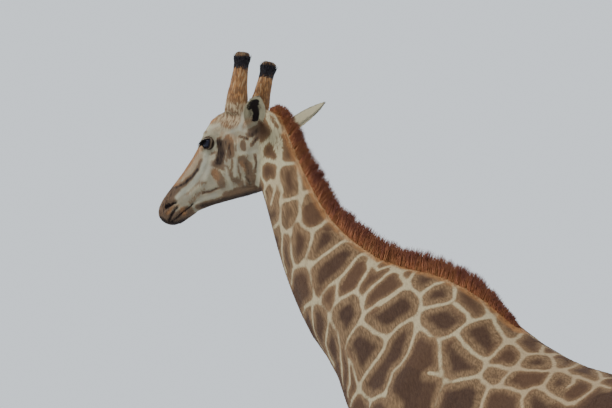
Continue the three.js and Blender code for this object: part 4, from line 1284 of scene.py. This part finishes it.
def lid_opening(c, sn):
    """How far the lids are open, as an angle from the gaze: flat on top, a wedge below."""
    top, foot, corner = 0.24, 0.92, 1.12
    if sn > 0:
        return 1 / math.sqrt((c / corner) ** 2 + (sn / top) ** 2)
    power = 1.35
    return ((abs(c) / corner) ** power + (abs(sn) / foot) ** power) ** (-1 / power)


eye_glass = bpy.data.materials.new("eye")
eye_glass.use_nodes = True
nodes, links, add, number, blend, sum_of, step = node_kit(eye_glass)
shader = nodes["Principled BSDF"]
shader.inputs["Roughness"].default_value = 0.06
shader.inputs["Specular IOR Level"].default_value = 0.12
shader.inputs["Coat Weight"].default_value = 0.07
shader.inputs["Coat Roughness"].default_value = 0.02
iris_grain = add("ShaderNodeTexNoise", Scale=420.0, Detail=3.0)
place = nodes.new("ShaderNodeTexCoord")
links.new(place.outputs["Object"], iris_grain.inputs["Vector"])
iris = blend(iris_grain.outputs["Fac"], (0.004, 0.005, 0.014, 1), (0.012, 0.012, 0.024, 1))
iris = blend(step(number("pupil"), 0.85, 1.05), (0.002, 0.002, 0.004, 1), iris)
iris = blend(step(number("rim"), 0.80, 1.0), iris, (0.004, 0.004, 0.005, 1))
links.new(iris, shader.inputs["Base Color"])

lid_mesh_points, lid_mesh_faces, lid_marks = [], [], {key: [] for key in MARKS}
lash_roots, lash_aims, lash_sides, lash_lengths, lash_bends = [], [], [], [], []
dice = np.random.default_rng(11)
for side, word in ((1, "left"), (-1, "right")):
    mirror = np.array((1, 1, side))
    centre = off_head((EYE_CENTRE * mirror)[None])[0]
    gaze = head_vectors(GAZE * mirror)[0]
    front = head_vectors(np.array((1.0, 0, 0)))[0]
    front = front - gaze * (front @ gaze)
    front /= np.linalg.norm(front)
    upward = head_vectors(np.array((0, 1.0, 0)))[0]
    upward = upward - gaze * (upward @ gaze) - front * (upward @ front)
    upward /= np.linalg.norm(upward)
    bpy.ops.object.select_all(action="DESELECT")
    bpy.ops.mesh.primitive_uv_sphere_add(segments=48, ring_count=28, radius=EYE_RADIUS, location=(0, 0, 0))
    ball = bpy.context.object
    ball.name = "eyeball_" + word
    co = points_of(ball.data)
    angle = np.arccos(np.clip(co[:, 2] / EYE_RADIUS, -1, 1))
    co *= (1 + 0.055 * (1 - ramp(angle, 0.45, 0.80)))[:, None]
    keep_numbers(ball.data, "pupil", np.hypot(co[:, 0] / 0.0100, co[:, 1] / 0.0062))
    keep_numbers(ball.data, "rim", angle / 0.95)
    turned = centre - gaze * 0.0015 + co[:, :1] * front + co[:, 1:2] * upward + co[:, 2:3] * gaze
    place_points(ball.data, turned)
    select_only(ball)
    bpy.ops.object.mode_set(mode="EDIT")
    bpy.ops.mesh.select_all(action="SELECT")
    bpy.ops.mesh.normals_make_consistent(inside=False)
    bpy.ops.object.mode_set(mode="OBJECT")
    bpy.ops.object.shade_smooth()
    ball.data.materials.append(eye_glass)
    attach(ball, "root")
    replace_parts(ball, "eye_" + word)
    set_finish(ball, "eye")

    # The lids: rings from the open edge outwards, sinking into the hide.
    LID_RINGS = ((1.035, 0.0, 0.95), (1.075, -0.01, 0.95), (1.105, 0.07, 0.72), (1.11, 0.17, 0.36), (1.10, 0.32, 0.14), (1.08, 0.50, 0.06), (1.06, 0.72, 0.0), (1.04, 0.98, 0.0), (0.70, 1.25, 0.0))
    around = 56
    base = len(lid_mesh_points)
    for ring, (out, wider, black) in enumerate(LID_RINGS):
        for k in range(around):
            turn = 2 * math.pi * k / around
            c, sn = math.cos(turn), math.sin(turn)
            opening = lid_opening(c, sn)
            lift = 0.06 * max(sn, 0) * (ring in (2, 3, 4)) + 0.02 * max(sn, 0)
            tilt = opening + wider
            spot = gaze * math.cos(tilt) + (front * c + upward * sn) * math.sin(tilt)
            lid_mesh_points.append(centre + spot * EYE_RADIUS * (out + lift))
            # On the upper lid a pale band is painted in as a painted highlight, the glint of the wet lid.
            lid_highlight = max(0.0, math.cos(turn - 1.65)) ** 2 * (ring in (3, 4)) * (1.0 if ring == 3 else 0.5)
            black = max(black, 0.80 * max(sn, 0.0) ** 0.5 * (ring == 5), 0.45 * max(sn, 0.0) * (ring == 6))
            lid_marks["edge"].append(0.004)
            lid_marks["tone"].append(0.5)
            lid_marks["warm"].append(0.0)
            lid_marks["dark"].append(black * (1 - lid_highlight))
            lid_marks["pale"].append(lid_highlight)
            lid_marks["grey"].append(1.0)
            lid_marks["mottle"].append(0.0)
            lid_marks["tan"].append(0.0)
            lid_marks["on_face"].append(1.0)
    for ring in range(len(LID_RINGS) - 1):
        for k in range(around):
            a, b = base + ring * around + k, base + ring * around + (k + 1) % around
            face = (a, b, b + around, a + around)
            lid_mesh_faces.append(face if side < 0 else face[::-1])

    for k in range(150):
        upper = k < 120
        turn = math.radians(dice.uniform(12, 172)) if upper else math.radians(dice.uniform(200, 340))
        c, sn = math.cos(turn), math.sin(turn)
        opening = lid_opening(c, sn)
        spread_out = front * c + upward * sn
        spot = gaze * math.cos(opening) + spread_out * math.sin(opening)
        lash_roots.append(centre + spot * EYE_RADIUS * 1.10)
        aim = gaze * 0.75 + spread_out * (0.55 if upper else 0.8) + front * 0.22 + dice.normal(0, 0.07, 3)
        lash_aims.append(aim / np.linalg.norm(aim))
        lash_sides.append(np.cross(aim, spread_out) / np.linalg.norm(np.cross(aim, spread_out)))
        length = dice.uniform(0.017, 0.026) if upper else dice.uniform(0.005, 0.009)
        lash_lengths.append(length)
        lash_bends.append((-upward * 0.45 + front * 0.1) * length * (1 if upper else 0.3))

lids_mesh = bpy.data.meshes.new("lids")
lids_mesh.from_pydata([tuple(p) for p in lid_mesh_points], [], lid_mesh_faces)
for key, values in lid_marks.items():
    keep_numbers(lids_mesh, key, values)
for polygon in lids_mesh.polygons:
    polygon.use_smooth = True
lids_mesh.materials.append(hide)
lids = bpy.data.objects.new("lids", lids_mesh)
bpy.context.scene.collection.objects.link(lids)
wall = lids.modifiers.new("wall", "SOLIDIFY")
wall.thickness = 0.0012
wall.offset = -1
select_only(lids)
bpy.ops.object.modifier_apply(modifier="wall")
bpy.ops.object.select_all(action="DESELECT")
lids.select_set(True)
skin.select_set(True)
bpy.context.view_layer.objects.active = skin
bpy.ops.object.join()

lashes = grown(
    "lashes", np.array(lash_roots), np.array(lash_aims), np.array(lash_sides), lash_lengths,
    np.full(len(lash_roots), 0.00065), {"shade": dice.random(len(lash_roots)) * 0.4}, levels=4, bend=np.array(lash_bends), thin=0.8,
)
lashes.data.materials.append(black_hair)
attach(lashes, "root")
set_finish(lashes, "tail_hair")

# ---------------------------------------------------------------- mane
# A short stiff mane stands up along the neck, from between the ears to the
# withers: thick hair, orange at the foot and dark red-brown at the tips.

MANE_HEIGHTS = [0.010, 0.022, 0.040, 0.058, 0.066, 0.067, 0.069, 0.072, 0.075, 0.078, 0.077, 0.068, 0.051, 0.028, 0.007]
MANE_FOOT = [(-1.070, 3.736), (-1.034, 3.732), (-0.990, 3.700), (-0.940, 3.612), (-0.881, 3.505), (-0.794, 3.376), (-0.708, 3.267), (-0.584, 3.164), (-0.418, 3.062), (-0.248, 3.003), (-0.110, 2.957), (0.012, 2.904), (0.112, 2.846), (0.202, 2.780), (0.274, 2.720)]
MANE_HALF = [0.009, 0.012, 0.014, 0.015, 0.015, 0.016, 0.016, 0.017, 0.017, 0.017, 0.017, 0.016, 0.015, 0.013, 0.010]
dice = np.random.default_rng(3)
foot_points = np.array([(mx, 0.0, mz) for mx, mz in MANE_FOOT])
legs_of_line = np.linalg.norm(np.diff(foot_points, axis=0), axis=1)
run = np.concatenate([[0], np.cumsum(legs_of_line)])
LOCKS = 9000
place_on = dice.uniform(0.004, run[-1] - 0.004, LOCKS)
clump = np.array([noise.noise(Vector((p * 38, 1.7, 0))) for p in place_on])
clump_fine = np.array([noise.noise(Vector((p * 110, 4.4, 0))) for p in place_on])
clump_lean = np.array([noise.noise(Vector((p * 26, 9.1, 0))) for p in place_on])
mane_x = np.interp(place_on, run, foot_points[:, 0])
mane_z = np.interp(place_on, run, foot_points[:, 2])
high = np.interp(place_on, run, MANE_HEIGHTS)
half = np.interp(place_on, run, MANE_HALF)
ahead = np.stack([np.interp(place_on + 0.03, run, foot_points[:, 0]) - np.interp(place_on - 0.03, run, foot_points[:, 0]), np.zeros(LOCKS), np.interp(place_on + 0.03, run, foot_points[:, 2]) - np.interp(place_on - 0.03, run, foot_points[:, 2])], 1)
ahead = unit(ahead)
rising = np.stack([-ahead[:, 2], np.zeros(LOCKS), ahead[:, 0]], 1)
rising *= np.sign(rising[:, 2:3])
across = dice.uniform(-1, 1, LOCKS)
roots = np.stack([mane_x, across * half * 1.15, mane_z], 1) - rising * (0.010 + 0.014 * across[:, None] ** 2)
sink = 0.010 + 0.014 * across**2
reach = (high + sink) * (0.70 + 0.20 * dice.random(LOCKS) + 0.16 * clump + 0.26 * clump_fine) * (1 - 0.16 * across**2)
reach = np.minimum(reach, high + sink - 0.001)
aims = unit(rising + ahead * (dice.normal(0, 0.10, LOCKS) + 0.24 * clump_lean + 0.10 * clump_fine)[:, None] + np.array((0, 1.0, 0)) * (across * 0.10 + dice.normal(0, 0.035, LOCKS))[:, None])
sides = unit(np.cross(aims, np.array((0, 1.0, 0)) + dice.normal(0, 0.4, (LOCKS, 3))))
mane = grown(
    "mane_hair", roots, aims, sides, reach, 0.0009 + 0.0012 * dice.random(LOCKS),
    {"shade": np.clip(0.5 + 0.9 * clump + dice.normal(0, 0.16, LOCKS), 0, 1)}, levels=3,
    bend=ahead * (dice.normal(0, 0.006, LOCKS))[:, None], thin=0.7, fullness=(1.0, 1.0, 0.80),
)
mane_hair = hair_material("mane_hair", (0.37, 0.172, 0.071, 1), (0.245, 0.094, 0.044, 1), (0.084, 0.028, 0.020, 1), split=0.50, gloss=0.6)
mane.data.materials.append(mane_hair)
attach(mane, "root")
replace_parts(mane, "mane")
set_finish(mane, "mane")

# ---------------------------------------------------------------- tail tuft
# The tail ends in a long switch of coarse black hair that hangs to the hocks.

tail_low, tail_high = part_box("tail_tuft")
dice = np.random.default_rng(5)
LOCKS = 2600
tuft_x = (tail_low.x + tail_high.x) / 2
turn = dice.uniform(0, 2 * np.pi, LOCKS)
start = dice.random(LOCKS) ** 0.9
span = tail_high.z - tail_low.z
root_z = tail_high.z + 0.055 - start * span * 0.42
thick = 0.0030 + 0.0145 * ramp(start, 0.0, 0.55)
roots = np.stack([tuft_x + np.cos(turn) * thick, np.sin(turn) * thick, root_z], 1)
fall = np.minimum((root_z - tail_low.z - 0.012) * (0.72 + 0.28 * dice.random(LOCKS) ** 0.6), span * (0.40 + 0.45 * dice.random(LOCKS)))
out = np.stack([np.cos(turn), np.sin(turn), np.zeros(LOCKS)], 1)
aims = unit(np.array((0, 0, -1.0)) + out * (0.05 + 0.05 * dice.random(LOCKS))[:, None] + dice.normal(0, 0.015, (LOCKS, 3)))
sides = unit(np.cross(aims, out))
tail_hair_piece = grown(
    "tail_hair", roots, aims, sides, fall, 0.0012 + 0.0013 * dice.random(LOCKS), {"shade": dice.random(LOCKS)}, levels=4,
    bend=-out * (0.026 + 0.016 * dice.random(LOCKS))[:, None] + dice.normal(0, 0.006, (LOCKS, 3)) * (1, 1, 0), thin=0.6, fullness=(0.9, 1.0, 0.9, 0.6),
)
tail_hair_piece.data.materials.append(black_hair)
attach(tail_hair_piece, "root")
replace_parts(tail_hair_piece, "tail_tuft")
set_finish(tail_hair_piece, "tail_hair")

# ---------------------------------------------------------------- hooves
# Each foot stands on two hooves of dark horn, one each side of a narrow cleft.
# Their walls are ringed where the horn has grown, and their soles are flat.

HOOF_CELL = 0.0036
RING_STEP = 0.0085
RING_DEPTH = 0.00055
hoof_horn = bpy.data.materials.new("hoof_horn")
hoof_horn.use_nodes = True
nodes, links, add, number, blend, sum_of, step = node_kit(hoof_horn)
shader = nodes["Principled BSDF"]
shader.inputs["Roughness"].default_value = 0.55
shader.inputs["Specular IOR Level"].default_value = 0.25
wall_grain = streaks(hoof_horn, Vector((0, 0, 1)), 0.060, 0.0030)
stains = add("ShaderNodeTexNoise", Scale=24.0, Detail=4.0)
rings_seen = streaks(hoof_horn, Vector((1, 0.3, 0)), 0.200, 0.0042, 1.0)
place = nodes.new("ShaderNodeTexCoord")
links.new(place.outputs["Object"], stains.inputs["Vector"])
height = nodes.new("ShaderNodeSeparateXYZ")
links.new(place.outputs["Object"], height.inputs["Vector"])
horn_colour = blend(step(wall_grain, 0.30, 0.70), (0.030, 0.022, 0.017, 1), (0.085, 0.064, 0.048, 1))
horn_colour = blend(step(rings_seen, 0.45, 0.60, 0.0, 0.35), horn_colour, (0.020, 0.015, 0.012, 1))
horn_colour = blend(step(stains.outputs["Fac"], 0.45, 0.70, 0.0, 0.45), horn_colour, (0.120, 0.094, 0.066, 1))
horn_colour = blend(step(height.outputs["Z"], 0.000, 0.030, 0.65, 0.0), horn_colour, (0.190, 0.155, 0.110, 1))
links.new(horn_colour, shader.inputs["Base Color"])
rise = add("ShaderNodeBump", Strength=0.5, Distance=0.0012)
links.new(sum_of("ADD", wall_grain, rings_seen), rise.inputs["Height"])
links.new(rise.outputs["Normal"], shader.inputs["Normal"])

for end in ("front", "hind"):
    for word in ("left", "right"):
        for place_of in ("outer", "inner"):
            node = "hoof_%s_%s_%s" % (end, word, place_of)
            hoof = copy_of([node], "wall_" + node)
            remeshed(hoof, HOOF_CELL, 0.0003)
            points = relaxed(points_of(hoof.data), edges_of(hoof.data), 26)
            place_points(hoof.data, points)
            outward = normals_of(hoof.data)
            wall = 1 - ramp(np.abs(outward[:, 2]), 0.45, 0.75)
            slow = np.array([noise.noise(Vector(p) * 14.0) for p in points])
            ring = np.sin(2 * np.pi * (points[:, 2] + 0.12 * (points[:, 0] - points[:, 0].mean()) + 0.002 * slow) / RING_STEP)
            rough = np.array([noise.noise(Vector((p[0] * 130, p[1] * 130, p[2] * 25))) for p in points])
            points = points - outward * (0.0008 + wall * (RING_DEPTH * (1 - ring) + 0.0005 * rough + 0.0008 * slow))[:, None]
            points[:, 2] = np.maximum(points[:, 2], 0.0)
            place_points(hoof.data, points)
            select_only(hoof)
            bpy.ops.object.shade_smooth()
            hoof.data.materials.clear()
            hoof.data.materials.append(hoof_horn)
            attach(hoof, "root")
            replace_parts(hoof, node)
            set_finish(hoof, "hoof")

# ---------------------------------------------------------------- fur
# The short coat lies flat, front to back and downwards. Where it breaks the
# outline it is made as small overlapping tufts that carry the marks of the hide.

dice = np.random.default_rng(13)
grow_marks = {key: values for key, values in MARKS.items()}
corner = grow_points[grow_faces]
area = 0.5 * (
    np.linalg.norm(np.cross(corner[:, 1] - corner[:, 0], corner[:, 2] - corner[:, 0]), axis=1)
    + np.linalg.norm(np.cross(corner[:, 2] - corner[:, 0], corner[:, 3] - corner[:, 0]), axis=1)
)
centre = corner.mean(1)
centre_head = ((centre - np.array(THROAT_CUT[0])) @ np.array(THROAT_CUT[1])) < 0


def lie_of(points, normals):
    """Which way the coat lies: back from the nose, down the neck, back over the trunk, down the legs."""
    spots = on_head(points)
    head_here = ramp(-((points - np.array(THROAT_CUT[0])) @ np.array(THROAT_CUT[1])), 0, 0.08)[:, None]
    horn_here = np.zeros(len(points))
    for side in (1, -1):
        share, gap = horn_numbers(points, side)
        horn_here = np.maximum(horn_here, (gap < 0.066) * ramp(share, 0.2, 0.4))
    face_lie = np.where((normals @ np.array(HEAD_UP))[:, None] > 0.35, -1, 1) * (np.array(HEAD_AHEAD) * 0.50 - np.array(HEAD_UP) * 0.84)
    horn_lie = np.array(HEAD_UP) * 0.85 - np.array(HEAD_AHEAD) * 0.5
    neck_lie = np.array((0.47, 0, -0.88))
    trunk_lie = np.array((0.80, 0, -0.60))
    leg_lie = np.array((0.10, 0, -1.0))
    low = (1 - ramp(points[:, 2], 1.6, 2.1))[:, None]
    front_part = (1 - ramp(points[:, 0] + 0.6 * (points[:, 2] - 2.6), -0.45, 0.0))[:, None]
    body = trunk_lie * (1 - front_part) + neck_lie * front_part
    body = body * (1 - low) + leg_lie * low
    head_lie = face_lie * (1 - horn_here[:, None]) + horn_lie * horn_here[:, None]
    for side in (1, -1):
        ear_here = (spots[:, 2] * side > 0.108) & (spots[:, 0] < 0.12) & (horn_here < 0.5)
        head_lie = np.where(ear_here[:, None], unit(head_vectors(np.array(EARS[side][1]) * (1, 1, side))), head_lie)
    return on_surface(body * (1 - head_here) + head_lie * head_here + dice.normal(0, 0.10, (len(points), 3)), normals)


def fur(name, chosen_faces, length, width, lift, levels=1):
    pick = chosen_faces
    share = dice.dirichlet((1, 1, 1, 1), len(pick))
    spots = np.einsum("ij,ijk->ik", share, grow_points[grow_faces[pick]])
    normals = unit(np.einsum("ij,ijk->ik", share, grow_normals[grow_faces[pick]]))
    marks = {key: np.einsum("ij,ij->i", share, values[grow_faces[pick]]) for key, values in grow_marks.items()}
    marks["shade"] = dice.random(len(pick))
    flat = lie_of(spots, normals)
    aims = unit(flat + normals * (lift * (0.6 + 0.8 * dice.random(len(pick))))[:, None])
    piece = grown(
        name, spots - normals * 0.0008, aims, unit(np.cross(aims, normals)),
        length * (0.7 + 0.6 * dice.random(len(pick))), width * (0.7 + 0.6 * dice.random(len(pick))),
        marks, levels=levels, bend=-normals * (length * lift * 0.35)[:, None], thin=0.45, flat=True,
    )
    piece.data.materials.append(fur_hide)
    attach(piece, "root")
    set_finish(piece, "coat")
    return piece


fur_hide = hide_material("fur", bump=False)


def faces_by(weight, number_of):
    chance = area * weight
    return dice.choice(len(area), number_of, p=chance / chance.sum())


head_faces = faces_by(centre_head * 1.0, 30000)
spots = centre[head_faces]
size = 0.0075 + 0.003 * ramp(-on_head(spots)[:, 0], -0.45, -0.1)
size = np.where((np.abs(on_head(spots)[:, 2]) > 0.108) & (on_head(spots)[:, 0] < 0.12), 0.0060, size)
fur("fur_head", head_faces, size, np.full(len(spots), 0.00085), np.full(len(spots), 0.20))
neck_faces = faces_by((~centre_head) * (centre[:, 2] > 2.35), 45000)
fur("fur_neck", neck_faces, np.full(len(neck_faces), 0.0105), np.full(len(neck_faces), 0.0014), np.full(len(neck_faces), 0.20))
body_faces = faces_by((~centre_head) * (centre[:, 2] <= 2.40) * (1 + 1.5 * (centre[:, 2] < 1.5)), 45000)
fur("fur_body", body_faces, np.full(len(body_faces), 0.0125), np.full(len(body_faces), 0.0019), np.full(len(body_faces), 0.20))

# Rows of hair run up over the place where the horns part from the hide.
share, gap = horn_numbers(centre)
seam_faces = faces_by((share > HORN_PARTING - 0.07) * (share < HORN_PARTING + 0.02) * (gap < 0.066) * 1.0, 5000)
fur("fur_horns", seam_faces, np.full(5000, 0.0105), np.full(5000, 0.0008), np.full(5000, 0.10))

# A fringe of longer hair hangs over the top edge of the hooves.
fringe_faces = faces_by((centre[:, 2] < 0.165) * (1.0 + 2.0 * (centre[:, 2] < 0.135)), 9000)
fur("fur_fringe", fringe_faces, np.full(9000, 0.024), np.full(9000, 0.0011), np.full(9000, 0.13))

# Long pale hair stands across the ears from their front rims.
ear_part = np.nonzero((ear_out > 0.5) & (hollow_shade < 0.5) & (hollow_shade > 0.02))[0]
rooted = dice.choice(ear_part, 2600)
out = grow_normals[rooted]
ear_aims = []
for side in (1, -1):
    ear_aims.append(unit(head_vectors(np.array(EARS[side][1]) * (1, 1, side)))[0])
along_ear = np.where(places[rooted][:, 2:3] > 0, ear_aims[0], ear_aims[1])
aims = unit(on_surface(along_ear + dice.normal(0, 0.16, (len(rooted), 3)), out) + out * 0.12)
ear_marks = {key: np.full(len(rooted), 0.0) for key in MARKS}
ear_marks.update(pale=np.full(len(rooted), 0.7), grey=np.full(len(rooted), 0.8), edge=np.full(len(rooted), -0.012), shade=dice.random(len(rooted)))
ear_hair = grown("ear_hair", grow_points[rooted] - out * 0.0006, aims, unit(np.cross(aims, out)), 0.008 + 0.009 * dice.random(len(rooted)), 0.0003 + 0.0003 * dice.random(len(rooted)), ear_marks, levels=2, bend=-out * 0.002)
ear_hair.data.materials.append(fur_hide)
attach(ear_hair, "root")
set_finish(ear_hair, "coat")
